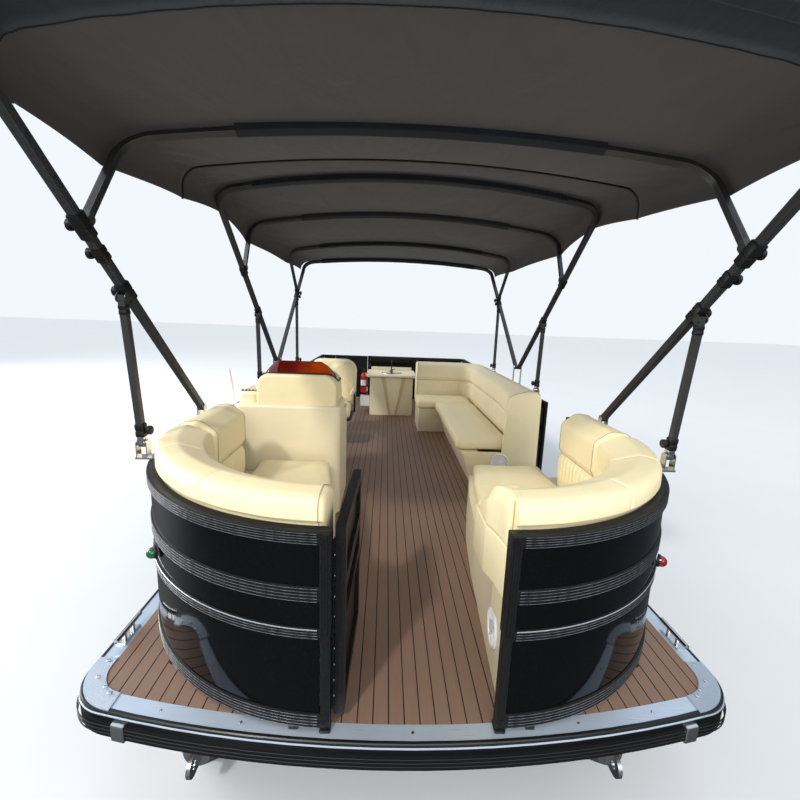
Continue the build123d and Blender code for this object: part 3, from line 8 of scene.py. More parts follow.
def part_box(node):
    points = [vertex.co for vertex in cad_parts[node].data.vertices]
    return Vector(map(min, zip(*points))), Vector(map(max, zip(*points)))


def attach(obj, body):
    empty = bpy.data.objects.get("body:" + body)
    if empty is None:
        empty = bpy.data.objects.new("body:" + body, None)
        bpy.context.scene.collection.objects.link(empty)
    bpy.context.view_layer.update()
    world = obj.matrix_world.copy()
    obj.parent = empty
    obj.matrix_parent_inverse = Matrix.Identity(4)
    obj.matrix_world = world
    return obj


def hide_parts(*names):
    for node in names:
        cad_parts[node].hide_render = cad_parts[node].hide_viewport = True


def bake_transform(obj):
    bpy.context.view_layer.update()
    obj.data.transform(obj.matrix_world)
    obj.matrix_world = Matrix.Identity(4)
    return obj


# A fixed seed, so that the small unevenness of the cushions is the same each run
noise.seed_set(7)

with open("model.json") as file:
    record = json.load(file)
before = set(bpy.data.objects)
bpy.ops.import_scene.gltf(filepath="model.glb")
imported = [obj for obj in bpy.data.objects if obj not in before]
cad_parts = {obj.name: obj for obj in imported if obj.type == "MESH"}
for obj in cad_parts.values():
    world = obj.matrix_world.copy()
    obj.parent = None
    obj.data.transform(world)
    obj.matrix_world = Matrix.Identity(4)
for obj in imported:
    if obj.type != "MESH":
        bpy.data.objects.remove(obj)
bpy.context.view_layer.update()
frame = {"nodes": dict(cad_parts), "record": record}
NODES = frame["nodes"]

# The CAD's own stations and heights, in metres: stations run aft from the deck's tip
BOW_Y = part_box("deck_board")[0].y
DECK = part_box("teak_floor")[1].z
WATER = 0.33


def at(station):
    return BOW_Y + station / 1000


def up(height):
    return DECK + height / 1000


def placed(point, *turns):
    """the matrix of a place at a point, turned by each (axis, angle) after it"""
    place = Matrix.Translation(point)
    for axis, angle in turns:
        place = place @ Matrix.Rotation(angle, 4, axis)
    return place


SIDES = ((1, "port"), (-1, "starboard"))


# Camera at the photograph's viewing angle
PHOTO_PX = 800
FOCAL_PX = 428.66
YAW, PITCH, ROLL = math.radians(-2.103), math.radians(-10.813), math.radians(-2.088)
camera = bpy.data.cameras.new("camera")
camera.sensor_width = 36
camera.lens = 36 * FOCAL_PX / PHOTO_PX
camera.clip_start, camera.clip_end = 0.02, 200
camera_object = bpy.data.objects.new("camera", camera)
bpy.context.collection.objects.link(camera_object)
CAMERA_AT = Vector((-0.132, BOW_Y - 1.209, DECK + 1.409))
turn = Matrix.Rotation(YAW, 4, "Z") @ Matrix.Rotation(PITCH, 4, "X") @ Matrix.Rotation(ROLL, 4, "Y")
camera_object.matrix_world = Matrix.Translation(CAMERA_AT) @ turn @ Matrix.Rotation(math.pi / 2, 4, "X")
bpy.context.scene.camera = camera_object
bpy.context.scene.view_settings.view_transform = "Standard"


# Shader helpers

class Shader:
    """A node material written as short calls; each call makes one node and returns its output"""

    def __init__(self, name):
        self.material = bpy.data.materials.new(name)
        self.material.use_nodes = True
        self.tree = self.material.node_tree
        self.bsdf = self.tree.nodes["Principled BSDF"]
        self.coords = self.tree.nodes.new("ShaderNodeTexCoord").outputs["Object"]

    def node(self, kind, **inputs):
        n = self.tree.nodes.new(kind)
        for key, value in inputs.items():
            self.put(n.inputs[key.replace("_", " ")], value)
        return n

    def put(self, socket, value):
        if isinstance(value, bpy.types.NodeSocket):
            self.tree.links.new(value, socket)
        else:
            socket.default_value = value

    def surface(self, **inputs):
        for key, value in inputs.items():
            self.put(self.bsdf.inputs[key.replace("_", " ")], value)
        return self.material

    def scaled(self, x, y, z):
        return self.node("ShaderNodeMapping", Scale=(x, y, z), Vector=self.coords).outputs["Vector"]

    def noise(self, scale, detail=4.0, rough=0.5, vector=None, distortion=0.0):
        return self.node("ShaderNodeTexNoise", Scale=scale, Detail=detail, Roughness=rough,
            Distortion=distortion, Vector=vector or self.coords).outputs["Fac"]

    def voronoi(self, scale):
        return self.node("ShaderNodeTexVoronoi", Scale=scale, Vector=self.coords).outputs["Distance"]

    def wave(self, scale, direction):
        n = self.node("ShaderNodeTexWave", Scale=scale, Vector=self.coords)
        n.bands_direction = direction
        return n.outputs["Fac"]

    def ramp(self, fac, *stops):
        n = self.node("ShaderNodeValToRGB", Fac=fac)
        elements = n.color_ramp.elements
        while len(elements) < len(stops):
            elements.new(0.5)
        for e, (place, colour) in zip(elements, stops):
            e.position = place
            e.color = (*colour[:3], 1) if isinstance(colour, tuple) else (colour, colour, colour, 1)
        return n.outputs["Color"]

    def math(self, operation, a, b):
        n = self.tree.nodes.new("ShaderNodeMath")
        n.operation = operation
        self.put(n.inputs[0], a)
        self.put(n.inputs[1], b)
        return n.outputs[0]

    def part(self, axis):
        n = self.node("ShaderNodeSeparateXYZ", Vector=self.coords)
        return n.outputs[axis]

    def mix(self, fac, a, b):
        n = self.tree.nodes.new("ShaderNodeMix")
        n.data_type = "RGBA"
        self.put(n.inputs[0], fac)
        self.put(n.inputs[6], a)
        self.put(n.inputs[7], b)
        return n.outputs[2]

    def bump(self, height, strength, distance, normal=None):
        n = self.node("ShaderNodeBump", Height=height, Strength=strength, Distance=distance)
        if normal is not None:
            self.put(n.inputs["Normal"], normal)
        return n.outputs["Normal"]


def rgb(r, g, b):
    """an sRGB colour of 0 to 255 as linear RGBA"""
    return tuple(((c / 255 + 0.055) / 1.055) ** 2.4 if c > 10 else c / 255 / 12.92
        for c in (r, g, b)) + (1.0,)


def darker(colour, share):
    return tuple(c * share for c in colour[:3]) + (1,)


def vinyl(name, light, dark):
    m = Shader(name)
    grain, wrinkle = m.voronoi(420.0), m.noise(14.0, 6, 0.6)
    smudge = m.ramp(m.noise(5.0, 8, 0.7), (0.55, 0), (0.8, 0.35))
    return m.surface(Base_Color=m.mix(smudge, m.mix(m.noise(2.2, 4), light, dark), darker(dark, 0.72)),
                     Roughness=m.ramp(wrinkle, (0.3, 0.4), (0.8, 0.55)), Coat_Weight=0.08, Coat_Roughness=0.4,
                     Normal=m.bump(grain, 0.12, 0.0006, m.bump(wrinkle, 0.16, 0.004)))


def black_rail(name, shine=0.24, speckle=0.04, base=0.005):
    m = Shader(name)
    speck, worn = m.noise(700.0, 2), m.noise(7.0, 5, 0.6)
    colour = m.ramp(speck, (0.5, (base, base, base * 1.1)), (0.74, (speckle, speckle, speckle * 1.05)))
    return m.surface(Base_Color=colour, Roughness=m.ramp(worn, (0.3, 0.3), (0.75, 0.44)),
                     Specular_IOR_Level=shine, Normal=m.bump(speck, 0.4, 0.0008))


def black_panel(name):
    m = Shader(name)
    dust = m.noise(160.0, 6, 0.7)
    return m.surface(Base_Color=m.ramp(dust, (0.55, (0.002, 0.002, 0.0025)), (0.8, (0.012, 0.012, 0.014))),
                     Roughness=m.ramp(dust, (0.4, 0.05), (0.8, 0.16)), Specular_IOR_Level=0.26,
                     Normal=m.bump(m.noise(2.2, 2), 0.1, 0.01))


def metal(name, colour, rough=0.3, grain_scale=(3, 300, 300), streak=0.12, metallic=1.0):
    m = Shader(name)
    streaks = m.noise(1.0, 5, 0.6, m.scaled(*grain_scale))
    return m.surface(Base_Color=m.mix(m.noise(9.0, 4), colour, darker(colour, 0.86)), Metallic=metallic,
                     Roughness=m.ramp(streaks, (0.3, max(rough - streak, 0.05)), (0.7, rough + streak)),
                     Normal=m.bump(streaks, 0.08, 0.0006))


def paint(name, colour, rough=0.35, coat=0.3, texture=600.0, strength=0.06, metallic=0.0):
    m = Shader(name)
    peel = m.noise(texture, 3)
    return m.surface(Base_Color=m.mix(m.noise(6.0, 4), colour, darker(colour, 0.85)), Metallic=metallic,
                     Roughness=m.ramp(peel, (0.3, rough * 0.85), (0.7, rough * 1.15)), Coat_Weight=coat,
                     Coat_Roughness=0.15, Normal=m.bump(peel, strength, 0.0008))


def edge_metal(name):
    """brushed strip, its pale blue base colour a painted sky reflection, with a cast grain on its front
    corners
    """
    m = Shader(name)
    streaks = m.noise(1.0, 5, 0.6, m.scaled(4, 200, 200))
    out = m.math("GREATER_THAN", m.math("ABSOLUTE", m.part(0), 0), 1.080)
    corner = m.math("MULTIPLY", out, m.math("LESS_THAN", m.part(1), at(355)))
    grain = m.math("MULTIPLY", m.noise(170.0, 5, 0.7), corner)
    # pale blue base: painted sky reflection, and painted brightness in place of the metal's sheen
    base = m.mix(m.noise(9.0, 4), (0.66, 0.76, 0.88, 1), (0.57, 0.65, 0.76, 1))
    return m.surface(Base_Color=m.mix(m.math("MULTIPLY", grain, 0.9), base, (0.36, 0.42, 0.5, 1)),
                     Metallic=0.55, Roughness=m.ramp(streaks, (0.3, 0.26), (0.7, 0.46)),
                     Normal=m.bump(grain, 0.9, 0.003, m.bump(streaks, 0.08, 0.0006)))


PLANK, GROOVE, PLANK_SHIFT = 0.056, 0.0044, 5.628


def teak(name):
    """planks along the boat with dark grooves between them, each plank a little different in tone"""
    m = Shader(name)
    long_grain = m.noise(1.0, 8, 0.65, m.scaled(220, 5, 60), 0.4)
    brush = m.noise(1.0, 3, 0.5, m.scaled(900, 14, 200))
    plank = m.math("FLOOR", m.math("DIVIDE", m.math("ADD", m.part(0), PLANK_SHIFT), PLANK), 0)
    tone = m.node("ShaderNodeTexWhiteNoise")
    tone.noise_dimensions = "1D"
    m.put(tone.inputs["W"], plank)
    wear = m.noise(1.6, 4)
    base = m.mix(long_grain, rgb(106, 81, 67), rgb(148, 118, 99))
    varied = m.mix(m.math("MULTIPLY", tone.outputs["Value"], 0.35), base, rgb(128, 104, 90))
    worn = m.mix(m.math("MULTIPLY", wear, 0.4), varied, rgb(134, 112, 98))
    within = m.math("FRACT", m.math("DIVIDE", m.math("ADD", m.part(0), PLANK_SHIFT + 0.002), PLANK), 0)
    seam = m.math("LESS_THAN", within, GROOVE / PLANK)
    return m.surface(Base_Color=m.mix(seam, worn, rgb(26, 18, 15)), Normal=m.bump(brush, 0.25, 0.0008),
                     Roughness=m.mix(seam, (0.6, 0.6, 0.6, 1), (0.75, 0.75, 0.75, 1)))


def canvas_cloth(name, colour, strength=0.15):
    m = Shader(name)
    weave = m.math("MULTIPLY", m.wave(520.0, "X"), m.wave(520.0, "Y"))
    wrinkle = m.noise(2.2, 4, 0.5, m.scaled(2.6, 0.9, 1), 0.6)
    return m.surface(Base_Color=m.mix(m.math("MULTIPLY", m.noise(2.5, 4), 0.5), colour, darker(colour, 0.7)),
                     Roughness=m.ramp(weave, (0.2, 0.8), (0.9, 0.93)), Sheen_Weight=0.1,
                     Normal=m.bump(weave, strength, 0.0005, m.bump(wrinkle, 0.55, 0.03)))


def amber_screen(name):
    m = Shader(name)
    haze = m.noise(30.0, 4)
    share = m.math("MULTIPLY", m.math("ADD", m.part(0), 1.0), 2.0)
    # colour by position: dark red on the outboard half, bright orange towards the aisle, painted light and
    # shade across the screen
    across = m.ramp(share, (0.45, (0.13, 0.008, 0.006)), (0.80, (0.86, 0.11, 0.008)))
    return m.surface(Base_Color=m.mix(m.math("MULTIPLY", haze, 0.5), across, rgb(120, 18, 8)), Roughness=0.05,
                     Transmission_Weight=0.35, IOR=1.46, Coat_Weight=0.6, Normal=m.bump(haze, 0.03, 0.001))


CREAM = rgb(246, 232, 190)
CREAM_DARK = rgb(240, 224, 178)
# a greyer copy of the cream vinyl, for the main lounge's back: painted shade
PAINTED_SHADE_CREAM = rgb(236, 224, 190)
# name: the function that makes it and its values
RECIPES = {
    "vinyl_cream": (vinyl, CREAM, CREAM_DARK),
    "base_cream": (paint, rgb(248, 236, 202), 0.42, 0.2),
    "rail_black": (black_rail,),
    "panel_black": (black_panel,),
    "tube_black": (black_rail, 0.75, 0.11, 0.014),
    "tube_aluminium": (metal, (0.72, 0.74, 0.76, 1), 0.34, (90, 2, 90)),
    "frame_aluminium": (metal, (0.55, 0.57, 0.6, 1), 0.45),
    "edge_aluminium": (edge_metal,),
    "stainless": (metal, (0.8, 0.81, 0.82, 1), 0.16, (200, 3, 200), 0.06),
    "rub_rubber": (paint, rgb(14, 14, 15), 0.4, 0.1, 300.0),
    "plastic_black": (paint, rgb(18, 18, 19), 0.5, 0.0, 700.0, 0.15),
    "engine_paint": (paint, rgb(22, 24, 27), 0.25, 0.6, 500.0, 0.03, 0.3),
    "red_paint": (paint, rgb(206, 22, 18), 0.3, 0.5),
    "nav_lens": (paint, rgb(10, 90, 50), 0.15, 0.6),
    "teak": (teak,),
    "deck_plywood": (paint, rgb(120, 92, 64), 0.7, 0.0, 40.0, 0.3),
    "canvas": (canvas_cloth, rgb(64, 61, 58)),
    "screen_amber": (amber_screen,),
    "vinyl_grey": (vinyl, PAINTED_SHADE_CREAM, rgb(224, 212, 178)),
    "piping_grey": (vinyl, rgb(188, 174, 138), rgb(172, 158, 124)),
    "white_plastic": (paint, rgb(240, 240, 238), 0.35, 0.2, 400.0, 0.05),
    "hem_black": (canvas_cloth, rgb(27, 30, 38), 0.2),
    "leg_gold": (paint, rgb(214, 196, 142), 0.45, 0.1),
    "tag_yellow": (paint, rgb(226, 190, 30), 0.5, 0.0),
    "lens_green": (paint, rgb(8, 96, 52), 0.12, 0.8),
    "lens_red": (paint, rgb(130, 14, 18), 0.12, 0.8),
    # a painted highlight: pale metal for one bright line along a rail's top
    "rib_bright": (metal, (0.62, 0.64, 0.67, 1), 0.3, (60, 60, 60), 0.1, 0.7),
    # painted glints: pale metal for the lines along the rails' ridges
    "rib_glint": (metal, (0.27, 0.28, 0.30, 1), 0.28, (60, 60, 60), 0.1, 0.6),
}
MATERIALS = {name: make(name, *values) for name, (make, *values) in RECIPES.items()}

# the material slot of each CAD node, as model.json gives it
record_slots = {row["node"]: row["material_slot"] for row in frame["record"]["subparts"]}


def dress(obj, material):
    obj.data.materials.clear()
    obj.data.materials.append(MATERIALS[material])


def shade(obj, angle):
    for polygon in obj.data.polygons:
        polygon.use_smooth = True
    obj.data.set_sharp_from_angle(angle=math.radians(angle))


for name, obj in NODES.items():
    dress(obj, record_slots[name])
    if name.startswith("top_") and record_slots[name] == "rail_black":
        dress(obj, "tube_black")
    shade(obj, 30)
dress(NODES["galley_side_box"], "white_plastic")
dress(NODES["top_fittings"], "stainless")


# Mesh helpers

def round_poly(corners, seg, step):
    """a closed outline with rounded corners from (x, y, radius), its straight runs divided by step"""
    rounded = []
    for i, (x, y, r) in enumerate(corners):
        p, a, b = Vector((x, y)), Vector(corners[i - 1][:2]), Vector(corners[(i + 1) % len(corners)][:2])
        da, db = (a - p).normalized(), (b - p).normalized()
        angle = da.angle(db)
        if r <= 0 or angle > 3.1:
            rounded.append([p])
            continue
        reach = min(r / math.tan(angle / 2), 0.49 * (a - p).length, 0.49 * (b - p).length)
        r = reach * math.tan(angle / 2)
        centre = p + (da + db).normalized() * (r / math.sin(angle / 2))
        s, e = p + da * reach - centre, p + db * reach - centre
        total = s.angle(e)
        rounded.append([centre + (s * math.sin((1 - k / seg) * total) + e
            * math.sin(k / seg * total)) / math.sin(total) for k in range(seg + 1)])
    outline = []
    for i, arc in enumerate(rounded):
        outline.extend(arc)
        a, b = arc[-1], rounded[(i + 1) % len(rounded)][0]
        count = int((b - a).length / step)
        outline.extend(a.lerp(b, k / (count + 1)) for k in range(1, count + 1))
    return [(v.x, v.y) for v in outline]


def rectangle(x0, x1, y0, y1, radii, seg, step):
    """a rounded rectangle, with one radius or one for each corner"""
    r = radii if isinstance(radii, tuple) else (radii,) * 4
    return round_poly([(x0, y0, r[0]), (x1, y0, r[1]), (x1, y1, r[2]), (x0, y1, r[3])], seg, step)


class Build:
    """gathers the faces of one piece"""

    def __init__(self):
        self.v, self.f = [], []

    def rings(self, rings, closed=True, caps=True, loop=False):
        base, n = len(self.v), len(rings[0])
        for ring in rings:
            self.v.extend(tuple(p) for p in ring)
        for i in range(len(rings) if loop else len(rings) - 1):
            a, b = base + i * n, base + ((i + 1) % len(rings)) * n
            for j in range(n if closed else n - 1):
                k = (j + 1) % n
                self.f.append((a + j, a + k, b + k, b + j))
        if caps and closed and not loop:
            self.f.append(tuple(range(base, base + n)))
            self.f.append(tuple(reversed(range(base + (len(rings) - 1) * n, base + len(rings) * n))))
        return self

    def slab(self, outline, lift, z0, z1, soft):
        """a solid between z0 and z1 on an outline, its edges eased; lift places an (x, y, z) point"""
        cx = sum(p[0] for p in outline) / len(outline)
        cy = sum(p[1] for p in outline) / len(outline)
        span = max(max(abs(p[0] - cx) for p in outline), max(abs(p[1] - cy) for p in outline))
        k = 1 - soft / span
        soft = math.copysign(soft, z1 - z0)
        inner = [(cx + (x - cx) * k, cy + (y - cy) * k) for x, y in outline]
        return self.rings([[lift(x, y, z) for x, y in ring] for ring, z in
                           ((inner, z0), (outline, z0 + soft), (outline, z1 - soft), (inner, z1))])

    def box(self, x0, x1, y0, y1, z0, z1, r=0.003, soft=0.0015):
        return self.slab(rectangle(x0, x1, y0, y1, r, 3, 10), lambda x, y, z: (x, y, z), z0, z1, soft)

    def lathe(self, profile, place, seg):
        """turns (radius, height) about the z axis at a point or of a matrix"""
        place = place if isinstance(place, Matrix) else Matrix.Translation(place)
        turns = [2 * math.pi * k / seg for k in range(seg)]
        return self.rings([[place @ Vector((r * math.cos(a), r * math.sin(a), h)) for a in turns]
            for r, h in profile])

    def tube(self, points, radius, seg=8, loop=False):
        """a round tube along points"""
        points = [Vector(p) for p in points]
        count = len(points)
        rings, n = [], None
        for i, p in enumerate(points):
            a = points[i - 1] if i or loop else p
            b = points[(i + 1) % count] if i < count - 1 or loop else p
            t = (b - a).normalized()
            if n is None:
                n = Vector((0, 0, 1)) if abs(t.z) < 0.9 else Vector((1, 0, 0))
            n = (n - t * n.dot(t)).normalized()
            m = t.cross(n)
            turns = [2 * math.pi * k / seg for k in range(seg)]
            rings.append([p + (n * math.cos(a) + m * math.sin(a)) * radius for a in turns])
        return self.rings(rings, loop=loop)

    def padded(self, name, material="vinyl_cream", body="hull", **kind):
        """a crowned cushion made directly"""
        self.piece(name, material, body, 60, **kind)

    def piece(self, name, material, body="hull", angle=35, replaces=(), wobble=0.0):
        """the gathered faces as one object on a body; wobble shifts its points a little"""
        mesh = bpy.data.meshes.new(name)
        points = self.v
        if wobble:
            points = [tuple(Vector(p) + wobble * noise.noise_vector(Vector(p) * 9.0)) for p in points]
        mesh.from_pydata(points, [], self.f)
        bm = bmesh.new()
        bm.from_mesh(mesh)
        bmesh.ops.remove_doubles(bm, verts=bm.verts, dist=2e-5)
        bmesh.ops.recalc_face_normals(bm, faces=bm.faces)
        bm.to_mesh(mesh)
        bm.free()
        mesh.materials.append(MATERIALS[material])
        obj = bpy.data.objects.new(name, mesh)
        bpy.context.collection.objects.link(obj)
        shade(obj, angle)
        if body:
            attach(obj, body)
        if replaces:
            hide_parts(*replaces)
        return obj


class Plan:
    """a line in plan, from rows of (x, y, outward x, outward y), read by the distance along it"""

    def __init__(self, rows):
        self.points, self.normals = [Vector(row[:2]) for row in rows], [Vector(row[2:]) for row in rows]
        self.s = [0.0]
        for a, b in zip(self.points, self.points[1:]):
            self.s.append(self.s[-1] + (b - a).length)
        self.length = self.s[-1]

    def at(self, s):
        s = min(max(s, 0.0), self.length)
        i = max(1, next((k for k, v in enumerate(self.s) if v >= s), len(self.s) - 1))
        w = (s - self.s[i - 1]) / max(self.s[i] - self.s[i - 1], 1e-9)
        return self.points[i - 1].lerp(self.points[i], w), self.normals[i - 1].lerp(self.normals[i],
            w).normalized()

    def ring(self, s, section):
        p, n = self.at(s)
        return [(p.x + n.x * u, p.y + n.y * u, DECK + z) for u, z in section]


def steps(a, b, step, extra=()):
    count = max(1, round((b - a) / step))
    values = [a + (b - a) * k / count for k in range(count + 1)]
    for centre in extra:
        values.extend(centre + d for d in (-0.009, -0.005, -0.0025, 0, 0.0025, 0.005, 0.009))
    return sorted(v for v in set(values) if a <= v <= b)


ARC_X, ARC_D, ARC_R = 0.276, 990, 0.940
FENCE_X = 1.216
GATE_X = 0.304
STERN = 6250
POST = 0.038


def bow_plan(side, radius, first_x, end_station):
    """inside or along the bow fence: an arc from first_x, then straight along the side"""
    start = -math.acos((first_x - ARC_X) / radius)
    rows = []
    for k in range(41):
        a = start * (1 - k / 40)
        rows.append((side * (ARC_X + radius * math.cos(a)), at(ARC_D) + radius * math.sin(a),
                     side * math.cos(a), math.sin(a)))
    return Plan(rows + [(side * (ARC_X + radius), at(end_station), side, 0)])


# Fences: ribbed rails, posts and a mitred frame at each gate post

RAILS = ((0.012, 0.057, 0.038), (0.360, 0.040, 0.038), (0.495, 0.055, 0.038), (0.700, 0.045, 0.046))
RAIL_TOP = 0.745


def ribbed(w, h, grooves):
    """a rail's section with grooves on its outer face and one on its top"""
    half = w / 2
    section = [(-half + 0.002, 0), (-half, 0.002), (-half, h - 0.002), (-half + 0.002, h)]
    for u in (half - 0.016, half - 0.010):
        section += [(u - 0.0015, h), (u - 0.0008, h - 0.0014), (u + 0.0008, h - 0.0014), (u + 0.0015, h)]
    section += [(half - 0.005, h), (half - 0.0015, h - 0.0015), (half, h - 0.005)]
    for k in range(grooves):
        z = h - 0.006 - (k + 0.5) * (h - 0.010) / grooves
        section += [(half, z + 0.0026), (half - 0.0022, z + 0.0014), (half - 0.0022, z - 0.0014),
            (half, z - 0.0026)]
    return section + [(half, 0.004), (half - 0.003, 0)]


RAIL_SECTIONS = [(z, [(u, z + v) for u, v in ribbed(w, h, 4 if h > 0.042 else 3)]) for z, h, w in RAILS]


def post_build(b, x, y, top=RAIL_TOP):
    """a square post with its foot plate"""
    half = POST / 2
    b.box(x - half, x + half, y - half, y + half, DECK, up(top * 1000), 0.004)
    b.box(x - half - 0.006, x + half + 0.006, y - half - 0.006, y + half + 0.006, DECK, DECK + 0.010, 0.006)


def painted_glint_lines(name, line, start):
    """painted glints: pale lines along the ridges between the grooves of each rail"""
    b = Build()
    for z, h, w in RAILS:
        count = 4 if h > 0.042 else 3
        for k in range(count + 1):
            v = h - 0.006 - k * (h - 0.010) / count
            b.tube([line.ring(s, [(w / 2 - 0.0006, z + v)])[0] for s in steps(start, line.length, 0.05)],
                0.0012, 5)
    b.piece(name, "rib_glint")


for side, name in SIDES:
    b = Build()
    half = POST / 2
    line = bow_plan(side, ARC_R, GATE_X - half, 1800)
    for z, section in RAIL_SECTIONS:
        first = line.ring(0.02, section)
        if z == 0.700:
            first = [line.ring((RAIL_TOP - v) * POST / 0.045, [(u, v)])[0] for u, v in section]
        b.rings([first] + [line.ring(s, section) for s in steps(0.0, line.length, 0.035) if s >= 0.045])
    # the gate post: a ribbed frame above the middle rail and a plain post below
    p, n = line.at(half)
    across = Vector((-n.y, n.x))
    across = across if across.x * side > 0 else -across
    section = ribbed(0.046, POST, 3)
    rings = []
    for z in (0.380, 0.55, 0.70):
        rings.append([(p.x + n.x * u + across.x * (v - half), p.y + n.y * u + across.y * (v - half), DECK + z)
                      for u, v in section])
    rings[-1] = [(x, y, DECK + RAIL_TOP - v * 0.045 / POST) for (x, y, _), (u, v) in zip(rings[-1], section)]
    b.rings(rings)
    b.box(side * GATE_X - half + 0.002, side * GATE_X + half - 0.002, at(50) - half + 0.002, at(50) + half,
        DECK, up(385), 0.004)
    b.box(side * GATE_X - half, side * GATE_X + half, at(50) - half - 0.006, at(50) + half + 0.006, DECK,
        up(10), 0.005)
    # clip feet under the bottom rail
    for s in (0.13, 0.75, 1.30):
        q, m = line.at(s)
        b.box(q.x - 0.016, q.x + 0.016, q.y - 0.02, q.y + 0.014, DECK, up(16), 0.004)
    post_build(b, side * (FENCE_X - 0.003), at(990), top=0.74)
    post_build(b, side * FENCE_X, at(1800) - half)
    b.piece(f"bow_fence_rails_{name}", "rail_black", replaces=(f"bow_fence_{name}",))
    painted_glint_lines(f"bow_fence_ribs_{name}", line, 0.045)
    # a painted highlight: one pale line along the top edge of the rail at 0.36 m
    z, h, w = RAILS[1]
    Build().tube([line.ring(s, [(w / 2 - 0.0002, z + h - 0.005)])[0]
        for s in steps(0.045, line.length, 0.05)], 0.0021, 6).piece(f"bow_fence_bright_line_{name}",
        "rib_bright")

for name, side, start, middles in (("port", 1, 2350, (3120, 4000, 5100)),
        ("starboard", -1, 1804, (2500, 3120, 4000, 5100))):
    b = Build()
    line = Plan([(side * FENCE_X, at(d), side, 0) for d in (start, STERN)])
    for z, section in RAIL_SECTIONS:
        b.rings([line.ring(s, section) for s in (0.0, line.length)])
    for station in (start + 19, STERN - 19):
        post_build(b, side * FENCE_X, at(station))
    for station in middles:
        post_build(b, side * (FENCE_X - 0.003), at(station), top=0.74)
    b.piece(f"side_fence_rails_{name}", "rail_black", replaces=(f"side_fence_{name}",))
    painted_glint_lines(f"side_fence_ribs_{name}", line, 0.01)

STERN_X = FENCE_X - 0.029
STERN_Y = at(STERN) - 0.019
b = Build()
for x0, x1 in ((-STERN_X, -1.0), (-0.440, STERN_X)):
    line = Plan([(x, STERN_Y, 0, 1) for x in (x0, x1)])
    for z, section in RAIL_SECTIONS:
        b.rings([line.ring(s, section) for s in (0.0, line.length)])
    for x in (x0 + 0.019, x1 - 0.019):
        post_build(b, x, STERN_Y)
b.piece("stern_fence_rails", "rail_black", replaces=("stern_fence",))

# The continuous hinge of the bow gate, and its screws
b, screws = Build(), Build()
for z0, z1 in ((0.06, 0.34), (0.36, 0.70)):
    b.box(-0.283, -0.279, at(64), at(94), up(z0 * 1000), up(z1 * 1000), 0.001, 0.0005)
    for k in range(9):
        z = z0 + (z1 - z0) * (k + 0.5) / 9
        screws.lathe([(0.0045, -0.002), (0.0045, 0.0), (0.003, 0.0022), (0.0005, 0.003)],
                     placed((-0.279, at(80 + 6 * (-1) ** k), DECK + z), ("Y", math.pi / 2)), 10)
b.tube([(-0.2855, at(72), up(60)), (-0.2855, at(72), up(700))], 0.005)
b.piece("bow_gate_hinge_strip", "rail_black")
screws.piece("bow_gate_hinge_screws", "stainless")


# Cushions

def scaled_section(section, inset):
    us, zs = [p[0] for p in section], [p[1] for p in section]
    cu, cz = (max(us) + min(us)) / 2, (max(zs) + min(zs)) / 2
    ku, kz = 1 - 2 * inset / (max(us) - min(us)), 1 - 2 * inset / (max(zs) - min(zs))
    return [(cu + (u - cu) * ku, cz + (z - cz) * kz) for u, z in section]


def cushion(b, line, section_at, s0, s1, ends, seams, step, depth=0.005):
    """a crowned cushion along a plan line, with rounded ends and sunk seams across it"""
    def rounded(s, end):
        turns = [math.pi / 2 * k / 6 for k in range(6)] if end else []
        return [line.ring(s + end * (1 - math.cos(a)), scaled_section(section_at(s),
            abs(end) * (1 - math.sin(a)))) for a in turns]

    middle = []
    for s in steps(s0 + ends[0], s1 - ends[1], step, seams):
        sunk = sum(depth * math.exp(-((s - c) / 0.0045) ** 2) for c in seams)
        middle.append(line.ring(s, scaled_section(section_at(s), sunk)))
    return b.rings(rounded(s0, ends[0]) + middle + rounded(s1, -ends[1])[::-1])


def bump_between(z, low, high):
    """0 outside a band of heights, rising to 1 inside"""
    if z <= low or z >= high:
        return 0.0
    return min(1.0, (z - low) / 0.02, (high - z) / 0.02)


